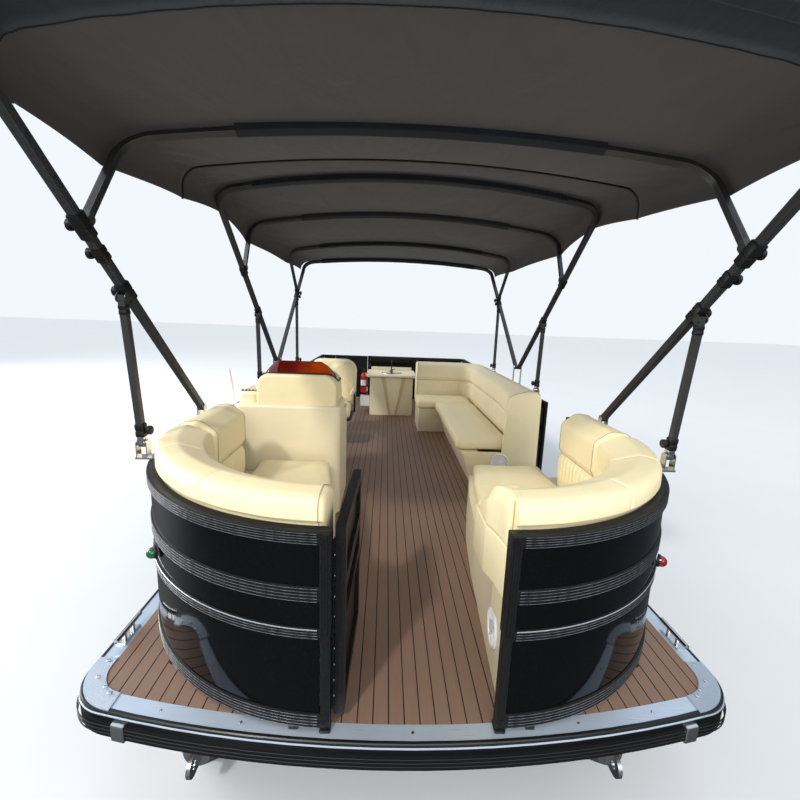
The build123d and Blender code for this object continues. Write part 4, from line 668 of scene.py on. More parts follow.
BACK_RADIUS = 0.912
for side, name in SIDES:
    line = bow_plan(side, BACK_RADIUS, 0.312, 1400)
    split = line.s[40] - 0.085
    arc = round_poly([(-0.002, 0.322, 0.01), (-0.002, 0.756, 0.004), (0.017, 0.762, 0.008),
        (0.015, 0.840, 0.045), (-0.075, 0.852, 0.05), (-0.184, 0.806, 0.03), (-0.190, 0.76, 0.02),
        (-0.188, 0.322, 0.01)], 6, 0.035)
    b = Build()
    cushion(b, line, lambda s: arc, 0.0, split, (0 if side > 0 else 0.022, 0.02), (0.47, 0.93), 0.03)
    b.padded(f"bow_back_corner_{name}", replaces=(f"bow_lounge_back_{name}",), wobble=0.0015)

    pleat = 0.046

    def side_section(s, split=split):
        out = []
        for u, z in SIDE_BACK:
            zone = bump_between(z, 0.43, 0.600) if u < -0.12 else 0.0
            out.append((u - zone * 0.007 * abs(math.sin(math.pi * (s - split) / pleat)), z))
        return out

    SIDE_BACK = round_poly([(-0.003, 0.322, 0.01), (-0.003, 0.848, 0.06), (-0.120, 0.862, 0.06),
        (-0.205, 0.800, 0.045), (-0.203, 0.640, 0.02), (-0.184, 0.606, 0.004), (-0.193, 0.560, 0.02),
        (-0.190, 0.322, 0.01)], 6, 0.03)
    b = Build()
    cushion(b, line, side_section, split + 0.004, line.length, (0.028, 0.028), (), pleat / 8)
    b.padded(f"bow_back_side_{name}", wobble=0.0012)

    b = Build()
    for s, section, grow in ((0.020, arc, 0.0015), (split + 0.027, SIDE_BACK, 0.001),
            (line.length - 0.026, SIDE_BACK, 0.001))[side > 0:]:
        b.tube(line.ring(s, scaled_section(section, -grow * 0.6)), 0.0022, 6, loop=True)
    seam = [line.ring(s, [(-0.1855, 0.607)])[0] for s in steps(split + 0.03, line.length - 0.03, 0.03)]
    b.tube(seam, 0.0028, 6)
    b.piece(f"bow_back_piping_{name}", "piping_grey")


ARM_TOPS = ((0.10, 0.836), (0.15, 0.846), (0.20, 0.847), (0.25, 0.830), (0.30, 0.798), (0.36, 0.760),
    (0.41, 0.735))


def arm_width(d):
    """the port arm's two sides across the boat at a station, clear of the gate's swing"""
    reach = -0.2855 + math.sqrt(0.578 ** 2 - (d - 0.072) ** 2) if d < 0.30 else 0.2456
    return max(reach, 0.258) + 0.002, 0.3122 if d < 0.27 else 0.372


def arm_section(d):
    x0, x1 = arm_width(d)
    for (d0, z0), (d1, z1) in zip(ARM_TOPS, ARM_TOPS[1:]):
        if d <= d1:
            break
    top = z0 + (z1 - z0) * (d - d0) / (d1 - d0)
    wide = x1 - x0
    return round_poly([(x0, 0.664, 0.008), (x1, 0.664, 0.003), (x1, top, 0.003),
        (x0 + 0.30 * wide, top - 0.004, 0.3 * wide), (x0, top - 0.05, 0.016)], 6, 9)


def arm_panel(d):
    x0, x1 = arm_width(d)
    return round_poly([(x0, 0.470, 0.006), (x1, 0.470, 0.003), (x1, 0.658, 0.003), (x0, 0.658, 0.006)], 6, 9)


def arm_rings(section_at, rows):
    return Build().rings([[(x, at(d * 1000), DECK + z) for x, z in scaled_section(section_at(d), inset)]
                          for d, inset in rows])


arm_rings(arm_section, ((0.104, 0.007), (0.107, 0.003), (0.114, 0), (0.15, 0), (0.19, 0), (0.23, 0),
    (0.265, 0), (0.275, 0), (0.31, 0), (0.35, 0), (0.378, 0.001), (0.392, 0.006), (0.400, 0.014),
    (0.403, 0.024))).padded("bow_arm_port", wobble=0.001)
arm_rings(arm_panel, ((0.105, 0.006), (0.108, 0.002), (0.114, 0), (0.19, 0), (0.265, 0), (0.275, 0),
    (0.35, 0), (0.43, 0), (0.455, 0.001), (0.466, 0.006), (0.472, 0.016))).piece("bow_arm_panel_port",
    "vinyl_cream", angle=60, wobble=0.001)


EASE_ROUNDS, PRESSURE, CLOTH_FRAMES = 6, 4.0, 20


def inflate(obj, voxel=0.014, cap=0.016):
    """a padded piece swells from its prism: remeshed, eased, blown up by cloth and capped"""
    mesh = obj.data
    bpy.context.view_layer.objects.active = obj
    remesh = obj.modifiers.new("remesh", "REMESH")
    remesh.mode = "VOXEL"
    remesh.voxel_size = voxel
    evaluated = obj.evaluated_get(bpy.context.evaluated_depsgraph_get())
    fresh = bpy.data.meshes.new_from_object(evaluated)
    obj.modifiers.remove(remesh)
    bm = bmesh.new()
    bm.from_mesh(fresh)
    for _ in range(EASE_ROUNDS):
        bmesh.ops.smooth_vert(bm, verts=bm.verts, factor=0.5, use_axis_x=True, use_axis_y=True,
            use_axis_z=True)
    bm.to_mesh(fresh)
    bm.free()
    rest = [v.co.copy() for v in fresh.vertices]
    temp = bpy.data.objects.new(obj.name + "_cloth", fresh)
    bpy.context.collection.objects.link(temp)
    cloth = temp.modifiers.new("cloth", "CLOTH")
    cloth.settings.use_pressure = True
    cloth.settings.uniform_pressure_force = PRESSURE
    cloth.settings.effector_weights.gravity = 0
    cloth.settings.quality = 5
    scene = bpy.context.scene
    for f in range(1, CLOTH_FRAMES + 1):
        scene.frame_set(f)
    blown = bpy.data.meshes.new_from_object(temp.evaluated_get(bpy.context.evaluated_depsgraph_get()))
    for v, r in zip(blown.vertices, rest):
        move = v.co - r
        if move.length > cap:
            v.co = r + move * (cap / move.length)
    bpy.data.objects.remove(temp)
    scene.frame_set(1)
    fresh = blown
    fresh.materials.clear()
    fresh.materials.append(mesh.materials[0])
    obj.data = fresh
    sub = obj.modifiers.new("sub", "SUBSURF")
    sub.levels = sub.render_levels = 1
    for p in fresh.polygons:
        p.use_smooth = True


SHRINK = 0.008


def pad(name, outline, z0, z1, body, replaces=(), lift=lambda x, y, z: (x, y, DECK + z), **sim):
    """a seat cushion from its plan outline, made thinner by what it swells"""
    obj = Build().slab(outline, lift, z0 + SHRINK, z1 - SHRINK, 0.004).piece(name, "vinyl_cream", body,
        replaces=replaces)
    inflate(obj, **sim)


SEAT_LOW, SEAT_HIGH = 0.322, 0.424


def lounge_outline(side, first, last):
    """the plan of part of a bow lounge's seat, between two stations"""
    aisle = [(0.320, 90), (0.382, 950), (0.425, 1350), (0.488, 1685)]
    inner, shift = 0.712, 0.010

    def aisle_x(d):
        for (x0, d0), (x1, d1) in zip(aisle, aisle[1:]):
            if d <= d1:
                return x0 + (x1 - x0) * (d - d0) / (d1 - d0) + shift
        return aisle[-1][0] + shift

    def outer_x(d):
        return ARC_X + (inner if d >= ARC_D else math.sqrt(max(inner ** 2 - ((ARC_D - d) / 1000) ** 2, 0)))

    first = max(first, ARC_D - 1000 * math.sqrt(inner ** 2 - (aisle_x(300) + 0.02 - ARC_X) ** 2))
    stations = [first + (last - first) * k / 24 for k in range(25)]
    return [(side * outer_x(d), at(d)) for d in stations] + [(side * aisle_x(d), at(d))
        for d in reversed(stations)]


for side, name in SIDES:
    pad(f"bow_seat_corner_{name}", lounge_outline(side, 280, 995), SEAT_LOW, SEAT_HIGH, "hull",
        (f"bow_corner_seat_{name}",))
    pad(f"bow_seat_side_{name}", lounge_outline(side, 1005, 1682), SEAT_LOW, SEAT_HIGH, f"{name}_bow_lid",
        (f"bow_side_seat_{name}",))


# The aisle side of the port lounge has a speaker, and the bench's end has another

def speaker(b, grille, place, r):
    b.lathe([(r, 0.0), (r, 0.006), (r * 0.93, 0.010), (r * 0.86, 0.008), (r * 0.84, 0.003), (0.001, 0.003)],
        place, 40)
    grille.lathe([(r * 0.84, 0.003), (r * 0.6, 0.005), (r * 0.42, 0.0035), (r * 0.30, 0.006),
        (r * 0.12, 0.0085), (0.001, 0.009)], place, 40)
    for k in range(14):
        a = 2 * math.pi * k / 14
        p = [place @ Vector((q * r * math.cos(a), q * r * math.sin(a), 0.006)) for q in (0.34, 0.84)]
        grille.tube(p, 0.0016, 5)


b, g = Build(), Build()
# faces inboard, off the base's slanting aisle side
slant = math.atan2(0.062, 0.860)
speaker(b, g, placed((0.336, at(320), up(190)), ("Z", -slant), ("Y", -math.pi / 2)), 0.085)
speaker(b, g, placed((0.853, at(2234), up(233)), ("X", math.pi / 2)), 0.080)
b.piece("speaker_rims", "white_plastic")
g.piece("speaker_grilles", "white_plastic")

# The main lounge: an L-shaped back with a roll over pleats, a wing at its near end, and its seats
OUT_X = 1.1735
bench = [(OUT_X, at(2252), 1, 0), (OUT_X, at(4320), 1, 0)]
for a in [math.pi / 2 * k / 24 for k in range(25)]:
    bench.append((OUT_X - 0.320 + 0.320 * math.cos(a), at(4320) + 0.320 * math.sin(a), math.cos(a),
        math.sin(a)))
bench_line = Plan(bench + [(0.280, at(4640), 0, 1)])
BENCH_BACK = round_poly([(-0.003, 0.322, 0.01), (-0.004, 0.838, 0.06), (-0.095, 0.846, 0.07),
    (-0.187, 0.800, 0.055), (-0.194, 0.650, 0.025), (-0.172, 0.611, 0.004), (-0.188, 0.570, 0.02),
    (-0.190, 0.322, 0.01)], 6, 0.03)
BENCH_PLEAT = 0.075


def wing(s):
    """how far the back's inner face comes inboard near its near end"""
    d = 2252 + s * 1000
    if d >= 3000:
        return 0.0
    w = (3000 - d) / 748
    return 0.0885 * (w * w * (3 - 2 * w) * 0.55 + 0.45 * w ** 4)


def bench_section(s):
    out = []
    for u, z in BENCH_BACK:
        inner = u < -0.12
        zone = bump_between(z, 0.43, 0.604) if inner else 0.0
        reach = wing(s) * min(1.0, max(0.0, (z - 0.56) / 0.05)) if u < -0.05 else 0.0
        share = min(1.0, -u / 0.19)
        out.append((u - zone * 0.006 * abs(math.sin(math.pi * s / BENCH_PLEAT)) - reach * share ** 2, z))
    return out


# the back takes the greyer copy of the cream vinyl: painted shade
cushion(Build(), bench_line, bench_section, 0.0, bench_line.length, (0.03, 0.025), (1.15, 2.05),
    BENCH_PLEAT / 6, 0.003).padded("main_back", "vinyl_grey", replaces=("main_lounge_back",), wobble=0.0015)
b = Build()
seam_line = [bench_line.ring(s, [(-0.1725 - wing(s) * 0.8, 0.612)])[0]
    for s in steps(0.02, bench_line.length - 0.02, 0.03)]
b.tube(seam_line, 0.004, 6)
for s in (0.026, bench_line.length - 0.022):
    b.tube(bench_line.ring(s, scaled_section(bench_section(s), -0.001)), 0.0035, 6, loop=True)
b.piece("main_back_piping", "piping_grey")

# The bench's near end panel, which rises from the deck to the wing
panel = round_poly([(0.642, 0.004, 0.01), (0.532, 0.316, 0.01), (0.868, 0.318, 0.0), (0.872, 0.43, 0.02),
    (0.884, 0.60, 0.05), (0.892, 0.785, 0.06), (0.985, 0.832, 0.08), (1.165, 0.838, 0.05),
    (1.1735, 0.004, 0.01)], 6, 0.05)
Build().slab(panel, lambda x, z, y: (x, y, DECK + z), at(2233), at(2251), 0.004).piece("main_end_panel",
    "vinyl_cream", angle=60, wobble=0.0008)

pad("main_seat", rectangle(0.478, 0.962, at(2256), at(3935), 0.03, 5, 0.2), SEAT_LOW, SEAT_HIGH, "main_lid",
    ("main_lounge_seat",), voxel=0.016)
pad("return_seat_pad", rectangle(0.252, 0.962, at(3945), at(4440), (0.03, 0.03, 0.14, 0.03), 5, 0.2),
    SEAT_LOW, SEAT_HIGH, "hull", ("return_seat",), voxel=0.016)


# Helm

POD_X0, POD_X1 = -1.019, -0.471
POD_MID, POD_HALF = (POD_X0 + POD_X1) / 2, (POD_X1 - POD_X0) / 2


def pod_top(x):
    dx = abs(x - POD_MID) - (POD_HALF - 0.085)
    return 1.0 if dx <= 0 else 0.915 + math.sqrt(max(0.085 ** 2 - dx ** 2, 0.0))


screen_rows = [(POD_X1 - 0.003, at(2062), 1, 0)]
for first, cx in ((0.0, POD_X1 - 0.133), (math.pi / 2, POD_X0 + 0.133)):
    for a in [first + math.pi / 2 * k / 14 for k in range(15)]:
        screen_rows.append((cx + 0.13 * math.cos(a), at(1784) + 0.13 - 0.13 * math.sin(a), math.cos(a),
            -math.sin(a)))
screen_plan = Plan(screen_rows + [(POD_X0 + 0.003, at(2062), -1, 0)])
trim, rings = [], []
for s in steps(0, screen_plan.length, 0.018):
    p, n = screen_plan.at(s)
    z0 = pod_top(p.x) + 0.002
    back = max(0.0, (p.y - at(1900)) / 0.16)
    side = max(0.0, abs(p.x - POD_MID) / POD_HALF - 0.5) / 0.5
    z1 = 1.084 - 0.034 * side ** 2 - 0.045 * back ** 1.4
    section = [(-0.075 * (k / 6) ** 1.2, z0 + (z1 - z0) * (k / 6)) for k in range(7)]
    section += [(u - 0.004, z) for u, z in reversed(section)]
    rings.append([(p.x + n.x * u, p.y + n.y * u, DECK + z) for u, z in section])
    trim.append((p.x + n.x * 0.001, p.y + n.y * 0.001, DECK + z0 + 0.002))
Build().rings(rings).piece("wrap_screen", "screen_amber", angle=60, replaces=("windscreen",))
Build().tube(trim, 0.006, 8).piece("screen_trim", "plastic_black")

b = Build()
for k in range(5):
    x = -1.135 + k * 0.024
    b.box(x - 0.008, x + 0.008, at(1800), at(1826), up(866), up(872), 0.002)
    b.box(x - 0.006, x + 0.006, at(1803), at(1816), up(871), up(876), 0.002)
b.piece("rocker_switches", "plastic_black")
b = Build()
b.tube([(-1.188, at(1838), up(745)), (-1.206, at(1838), up(813)), (-1.2165, at(1838), up(880))], 0.006, 10)
b.tube([(-1.2165, at(1838), up(875)), (-1.232, at(1838), up(980)), (-1.236, at(1838), up(1011))], 0.010, 12)
b.box(-1.206, -1.174, at(1824), at(1852), up(744), up(760), 0.006)
b.piece("aerial", "white_plastic")
b = Build()
b.box(-0.535, -0.465, at(2150), at(2270), up(699), up(760), 0.02, 0.01)
b.tube([(-0.500, at(2205), up(755)), (-0.500, at(2190), up(820)), (-0.500, at(2180), up(862))], 0.008, 10)
b.lathe([(0.001, 0.0), (0.016, 0.004), (0.021, 0.02), (0.018, 0.042), (0.001, 0.05)],
    (-0.5, at(2180), up(850)), 16)
b.piece("throttle", "plastic_black")

slope = math.atan2(0.2995, 0.150)
gauge_bezels, gauge_faces = Build(), Build()
for x in (-0.915, -0.745, -0.575):
    place = placed((x, at(2118), up(864.5)), ("X", -slope), ("Z", math.pi))
    gauge_bezels.lathe([(0.044, 0.0), (0.044, 0.006), (0.038, 0.008), (0.036, 0.004)], place, 32)
    gauge_faces.lathe([(0.036, 0.0), (0.036, 0.004), (0.001, 0.004)], place, 32)
gauge_bezels.piece("gauge_bezels", "stainless")
gauge_faces.piece("gauge_faces", "plastic_black")

HX, HY = -0.725, at(3420)
pad("helm_pad", round_poly([(HX - 0.255, HY - 0.262, 0.09), (HX + 0.255, HY - 0.262, 0.09),
    (HX + 0.235, HY + 0.16, 0.04), (HX - 0.235, HY + 0.16, 0.04)], 6, 0.1), 0.34, 0.462, "helm_chair",
    ("helm_seat",), cap=0.02)


def leaning(x, z, t):
    return (HX + x, HY + 0.132 + (z - 0.40) * 0.1132 + t, DECK + z)


pad("helm_back", round_poly([(-0.250, 0.43, 0.05), (0.250, 0.43, 0.05), (0.262, 0.925, 0.125),
    (-0.262, 0.925, 0.125)], 8, 0.1), 0.0, 0.105, "helm_chair", lift=leaning, cap=0.02)
b = Build()
shell = round_poly([(-0.258, 0.40, 0.06), (0.258, 0.40, 0.06), (0.268, 0.928, 0.13), (-0.268, 0.928, 0.13)],
    8, 0.1)
b.slab(shell, leaning, 0.095, 0.138, 0.02)
b.piece("helm_shell", "base_cream", "helm_chair", 60)
b = Build()
b.box(HX - 0.245, HX + 0.245, HY - 0.245, HY + 0.22, up(324), up(352), 0.06, 0.008)
b.box(HX - 0.128, HX + 0.128, HY - 0.118, HY + 0.118, up(303), up(326), 0.01)
for s in (1, -1):
    b.tube([(HX + s * 0.252, HY + 0.16, up(345)), (HX + s * 0.254, HY + 0.15, up(480)),
        (HX + s * 0.254, HY + 0.12, up(585))], 0.012, 10)
b.piece("helm_pan", "plastic_black", "helm_chair")
for s, tag in SIDES:
    arm = round_poly([(-0.024, 0.585, 0.018), (0.016, 0.585, 0.014), (0.016, 0.632, 0.016),
        (-0.024, 0.632, 0.018)], 5, 0.1)
    Build().rings([[(HX + s * 0.250 + s * u * q, HY + y, DECK + 0.608 + (z - 0.608) * q) for u, z in arm]
        for y, q in ((-0.20, 0.4), (-0.195, 0.75), (-0.18, 0.95), (-0.14, 1), (0.02, 1), (0.16, 1),
        (0.19, 0.9))]).padded(f"helm_arm_{tag}", body="helm_chair")

# Galley

b = Build()
counter = rectangle(-0.384, 0.301, at(4922), at(5523), (0.06, 0.06, 0.02, 0.02), 6, 0.2)
b.tube([(x, y, up(580)) for x, y in counter], 0.0215, 10, loop=True)
b.piece("counter_lip", "base_cream")
# two legs that stand off the front and draw together towards the deck
for name, top_x, foot_x in (("left", -0.160, -0.050), ("right", 0.140, 0.030)):
    rings = []
    for z, wide, proud in ((0.004, 0.017, 0.016), (0.20, 0.019, 0.018), (0.50, 0.025, 0.022),
            (0.553, 0.030, 0.026)):
        x = foot_x + (top_x - foot_x) * z / 0.56
        rings.append([(px, py, DECK + z) for px, py in round_poly([(x - wide, at(4951), 0.002),
            (x - wide, at(4950) - proud, 0.006), (x + wide, at(4950) - proud, 0.006),
            (x + wide, at(4951), 0.002)], 4, 1)])
    Build().rings(rings).piece(f"galley_pilaster_{name}", "leg_gold", angle=45)
b = Build()
for x0, x1 in ((-0.348, -0.005), (0.005, 0.271)):
    rings = []
    for k in range(9):
        x = x0 + (x1 - x0) * k / 8
        bulge = 0.006 * math.sin(math.pi * k / 8)
        rings.append([(x, at(4951), up(30)), (x, at(4949) - bulge, up(30)), (x, at(4949) - bulge, up(552)),
            (x, at(4951), up(552))])
    b.rings(rings)
b.piece("galley_front", "base_cream", angle=40)
SINK = ((-0.352 + 0.275) / 2, at(5230) - 0.060)
b = Build()
b.lathe([(0.153, 0.600), (0.152, 0.6035), (0.144, 0.604), (0.136, 0.598), (0.133, 0.52), (0.120, 0.482),
    (0.03, 0.474), (0.028, 0.470), (0.001, 0.470)], (SINK[0], SINK[1], DECK), 40)
b.piece("sink_bowl_lining", "stainless")
b = Build()
tx, ty = SINK[0], SINK[1] + 0.180
b.lathe([(0.024, 0.0), (0.024, 0.008), (0.014, 0.014), (0.013, 0.03), (0.001, 0.03)], (tx, ty, up(600.3)), 24)
neck = [(tx, ty, up(615)), (tx, ty, up(700))]
neck += [(tx, ty - 0.05 + 0.05 * math.cos(a), up(725) + 0.05 * math.sin(a))
    for a in [math.pi * k / 10 for k in range(11)]]
neck += [(tx, ty - 0.10, up(695))]
b.tube(neck, 0.008, 12)
b.tube([(tx + 0.012, ty, up(622)), (tx + 0.05, ty, up(640))], 0.005, 8)
b.piece("swan_tap", "plastic_black", replaces=("sink_tap",))

EX, EY = -0.444, at(5030)
b = Build()
b.lathe([(0.02, 0.318), (0.040, 0.320), (0.044, 0.330), (0.044, 0.545), (0.040, 0.575), (0.026, 0.597),
    (0.016, 0.602), (0.014, 0.615)], (EX, EY, DECK), 32)
b.piece("extinguisher_body", "red_paint", angle=50, replaces=("extinguisher",))
b = Build()
b.lathe([(0.015, 0.610), (0.017, 0.618), (0.017, 0.640), (0.012, 0.648), (0.001, 0.65)], (EX, EY, DECK), 20)
b.box(EX - 0.010, EX + 0.010, EY - 0.078, EY + 0.018, up(640), up(647), 0.004)
b.box(EX - 0.011, EX + 0.011, EY - 0.082, EY + 0.014, up(662), up(669), 0.004)
b.tube([(EX, EY + 0.01, up(645)), (EX, EY + 0.014, up(660)), (EX, EY - 0.002, up(668))], 0.006, 8)
b.tube([(EX + 0.014, EY - 0.02, up(632)), (EX + 0.035, EY - 0.04, up(622)), (EX + 0.046, EY - 0.045, up(585)),
    (EX + 0.047, EY - 0.03, up(480)), (EX + 0.046, EY - 0.02, up(420))], 0.007, 10)
b.box(EX + 0.030, EX + 0.090, EY - 0.014, EY + 0.014, up(405), up(445), 0.006)
b.lathe([(0.0455, 0.40), (0.0455, 0.412)], (EX, EY, DECK), 32)
b.piece("extinguisher_fittings", "plastic_black")
Build().lathe([(0.0446, 0.425), (0.0448, 0.427), (0.0448, 0.503), (0.0446, 0.505)], (EX, EY, DECK),
    32).piece("extinguisher_band", "white_plastic")
Build().box(EX + 0.02, EX + 0.058, EY - 0.052, EY - 0.050, up(560), up(612), 0.004,
    0.0006).piece("extinguisher_tag", "tag_yellow")


# Bimini top: grooved tubes, clamps, and two stretched canvases

W_FRONT, W_OUT, W_IN = 1.216, 1.233, 1.199
HINGE_1, HINGE_2 = (1320.0, 850.0), (3120.0, 960.0)


def along(start, angle, distance):
    a = math.radians(angle)
    return (start[0] + distance * math.cos(a), start[1] + distance * math.sin(a))


def lean_of(start, end):
    return math.degrees(math.atan2(end[1] - start[1], end[0] - start[0]))


REAR_LEAN, AFT_LEAN = lean_of(HINGE_2, (1740, 2120)), lean_of(HINGE_2, (4470, 1990))
FRONT_BRANCH = along(along(HINGE_1, 136.8, 1227), 46.8, 38)
REAR_BRANCH = along(along(HINGE_2, REAR_LEAN, 1180), REAR_LEAN - 90, 38)
AFT_BRANCH = along(along(HINGE_2, AFT_LEAN, 1150), AFT_LEAN + 90, 38)
# name, pivot, lean, half width, crown, tube, body, reach of its sleeve
BOWS = (
    ("front_bow", HINGE_1, 136.8, W_FRONT, 1.970, 0.032, "front_top", 1.06),
    ("front_branch", FRONT_BRANCH, 53.5, W_FRONT, 0.590, 0.028, "front_branch", 0.80),
    ("rear_bow", HINGE_2, REAR_LEAN, W_OUT, 1.989, 0.032, "rear_top", 0.98),
    ("rear_branch", REAR_BRANCH, 62.0, W_OUT, 0.540, 0.028, "rear_branch", 0.86),
    ("aft_bow", HINGE_2, AFT_LEAN, W_IN, 1.964, 0.032, "hull", 1.02),
    ("aft_branch", AFT_BRANCH, 137.0, W_IN, 0.700, 0.028, "aft_branch", 0.90),
)


def bow_line(half, top, foot, r=0.150, turn=78.0, crown=48):
    """a bow in its own plane as (x, along the legs, outward x, outward along)"""
    turn = math.radians(turn)
    x1 = half - r + r * math.cos(turn)
    crown_r = x1 / math.cos(turn)
    leg = top - r * math.sin(turn) - crown_r * (1 - math.sin(turn))
    points = [(half, -foot + (leg + foot) * k / 12, 1.0, 0.0) for k in range(12)]
    for k in range(13):
        a = turn * k / 12
        points.append((half - r + r * math.cos(a), leg + r * math.sin(a), math.cos(a), math.sin(a)))
    centre = top - crown_r
    for k in range(1, crown):
        a = turn + (math.pi - 2 * turn) * k / crown
        points.append((crown_r * math.cos(a), centre + crown_r * math.sin(a), math.cos(a), math.sin(a)))
    return points + [(-x, l, -nx, nl) for x, l, nx, nl in reversed(points[:25])]


def in_bow(pivot, lean, x, l, out=0.0, across=0.0, nx=0.0, nl=0.0):
    """a point of a bow's plane: moved out along (nx, nl) and across the plane"""
    a = math.radians(lean)
    l2, x2 = l + out * nl, x + out * nx
    return (x2, at(pivot[0]) + l2 * math.cos(a) - across * math.sin(a),
        up(pivot[1]) + l2 * math.sin(a) + across * math.cos(a))


for name, pivot, lean, half, top, tube, body, reach in BOWS:
    line = bow_line(half, top, -0.035)
    h = tube / 2
    b = Build()
    for face in range(4):
        for offset in (-0.0062, 0.0, 0.0062):
            rings = []
            for x, l, nx, nl in line:
                ring = []
                for w, proud in ((-0.0016, -0.0003), (-0.0012, 0.0010), (0.0012, 0.0010), (0.0016, -0.0003)):
                    pair = (h + proud) * (-1 if face % 2 else 1), offset + w
                    ring.append(in_bow(pivot, lean, x, l, *(pair if face < 2 else pair[::-1]), nx, nl))
                rings.append(ring)
            b.rings(rings)
    b.piece(f"{name}_ribs", "tube_black", body, 50)
    # the cloth sleeve that holds the bow to the canvas
    section = round_poly([(-h - 0.002, -h - 0.003, 0.006), (h + 0.0025, -h - 0.017, 0.003),
        (h + 0.0025, h + 0.017, 0.003), (-h - 0.002, h + 0.003, 0.006)], 3, 1)
    Build().rings([[in_bow(pivot, lean, x, l, o, c, nx, nl) for o, c in section] for x, l, nx, nl in line
        if abs(x) < reach and l > top - 0.4]).piece(f"{name}_sleeve", "hem_black", body, 60, wobble=0.0012)


def clamp(b, s, half, base, lean, length, size, knob_out, knob=True):
    """a collar round a leg at a (station, height), with its knob"""
    a = math.radians(lean)
    t = Vector((0, math.cos(a), math.sin(a)))
    n = Vector((0, -math.sin(a), math.cos(a)))
    c = Vector((s * half, at(base[0]), up(base[1])))
    section = rectangle(-size, size, -size, size, 0.006, 3, 1)
    b.rings([[c + t * d + Vector((u * k, 0, 0)) + n * (v * k) for u, v in section]
        for d, k in ((-length, 0.9), (-length + 0.004, 1.0), (-0.006, 1.0), (-0.004, 0.93), (0.004, 0.93),
        (0.006, 1.0), (length - 0.004, 1.0), (length, 0.9))])
    if knob:
        out = s if knob_out else -s
        place = placed(c + Vector((out * size, 0, 0)), ("Y", out * math.pi / 2))
        b.lathe([(0.008, -0.004), (0.008, 0.008), (0.019, 0.010), (0.021, 0.014), (0.021, 0.024),
            (0.017, 0.028), (0.001, 0.029)], place, 12)


def clamps(name, material, body, half, spots):
    """a collar on both sides of the boat for each spot"""
    b = Build()
    for s in (1, -1):
        for spot, lean, length, size, *knob in spots:
            clamp(b, s, half, spot, lean, length, size, *knob)
    b.piece(name, material, body)


# each leg's pivot, lean, clamps as (distance, length, size, knob outside, knob), and its strut's top and foot
LEGS = (
    ("front", "front_top", W_FRONT, HINGE_1, 136.8,
     ((1227, 0.050, 0.0235, True, True), (1105, 0.030, 0.0215, True, True), (915, 0.045, 0.0235, True, True)),
     (915, 90), 690.0),
    ("rear", "rear_top", W_OUT, HINGE_2, REAR_LEAN,
     ((1180, 0.040, 0.0225, False, False), (720, 0.040, 0.0225, False, False)), (720, 90), 2570.0),
    ("aft", "hull", W_IN, HINGE_2, AFT_LEAN,
     ((1150, 0.035, 0.0225, False, True), (1080, 0.028, 0.0225, False, True)), (1080, -90), 4000.0),
)
for tag, body, half, pivot, lean, spots, _, _ in LEGS:
    clamps(f"{tag}_bow_clamps", "plastic_black", body, half,
           [(along(pivot, lean, distance), lean, *size) for distance, *size in spots])
for tag, body, half, pivot, lean, _, (reach, side), foot in LEGS:
    head, foot = along(along(pivot, lean, reach), lean + side, 38), (foot, 815.0)
    body = body if body == "hull" else f"{tag}_struts"
    lean = lean_of(head, foot)
    clamps(f"{tag}_strut_clamps", "plastic_black", body, half,
        ((along(foot, lean, -62), lean, 0.030, 0.0195, False), (along(head, lean, 46), lean, 0.020, 0.0175,
        True, False)))
    clamps(f"{tag}_strut_clamps_ends", "stainless", body, half,
        ((along(foot, lean, -14), lean, 0.022, 0.0165, True, False),))


def lift(lean, tube):
    a = math.radians(lean)
    return (tube / 2 * (abs(math.sin(a)) + abs(math.cos(a))) + 0.0055) / math.sin(a)


CANVAS_HALF = W_OUT + 0.016 + 0.0035
SKIRT = 0.070


def canvas_line(pivot, lean, top, r=0.150, turn=78.0, skirt=SKIRT):
    """the canvas cut on the plane of a bow, from the port skirt's edge to the starboard one"""
    cut = bow_line(CANVAS_HALF, top, 0.0, r, turn, 144)
    leg = cut[12][1]
    skirt = [(CANVAS_HALF, leg - skirt * (1 - k / 5), 1.0, 0.0) for k in range(5)]
    middle = cut[12:-12]
    cut = skirt + middle + [(-x, l, -nx, nl) for x, l, nx, nl in reversed(skirt)]
    return [Vector(in_bow(pivot, lean, x, l)) for x, l, nx, nl in cut]


ZIP = 2246.0
FRONT_CUTS = (
    canvas_line((1275.0, 850.0), 136.8, 1.970 + lift(136.8, 0.032)),
    canvas_line(FRONT_BRANCH, 53.5, 0.590 + lift(53.5, 0.028)),
    canvas_line((1297.0, 0.0), 90.0, ZIP / 1000, 0.110, 82.0, 0.054),
)
REAR_CUTS = (
    canvas_line((1303.0, 0.0), 90.0, ZIP / 1000, 0.110, 82.0, 0.054),
    canvas_line(HINGE_2, REAR_LEAN, 1.989 + lift(REAR_LEAN, 0.032)),
    canvas_line(REAR_BRANCH, 62.0, 0.540 + lift(62.0, 0.028)),
    canvas_line(AFT_BRANCH, 137.0, 0.700 + lift(137.0, 0.028)),
    canvas_line((3165.0, 960.0), AFT_LEAN, 1.964 + lift(AFT_LEAN, 0.032)),
)


CREASES = ((0.93, 0.79, 0.012), (0.93, 0.87, 0.010), (0.94, 0.92, 0.008), (0.92, 0.68, 0.006),
    (0.78, 0.93, 0.006))


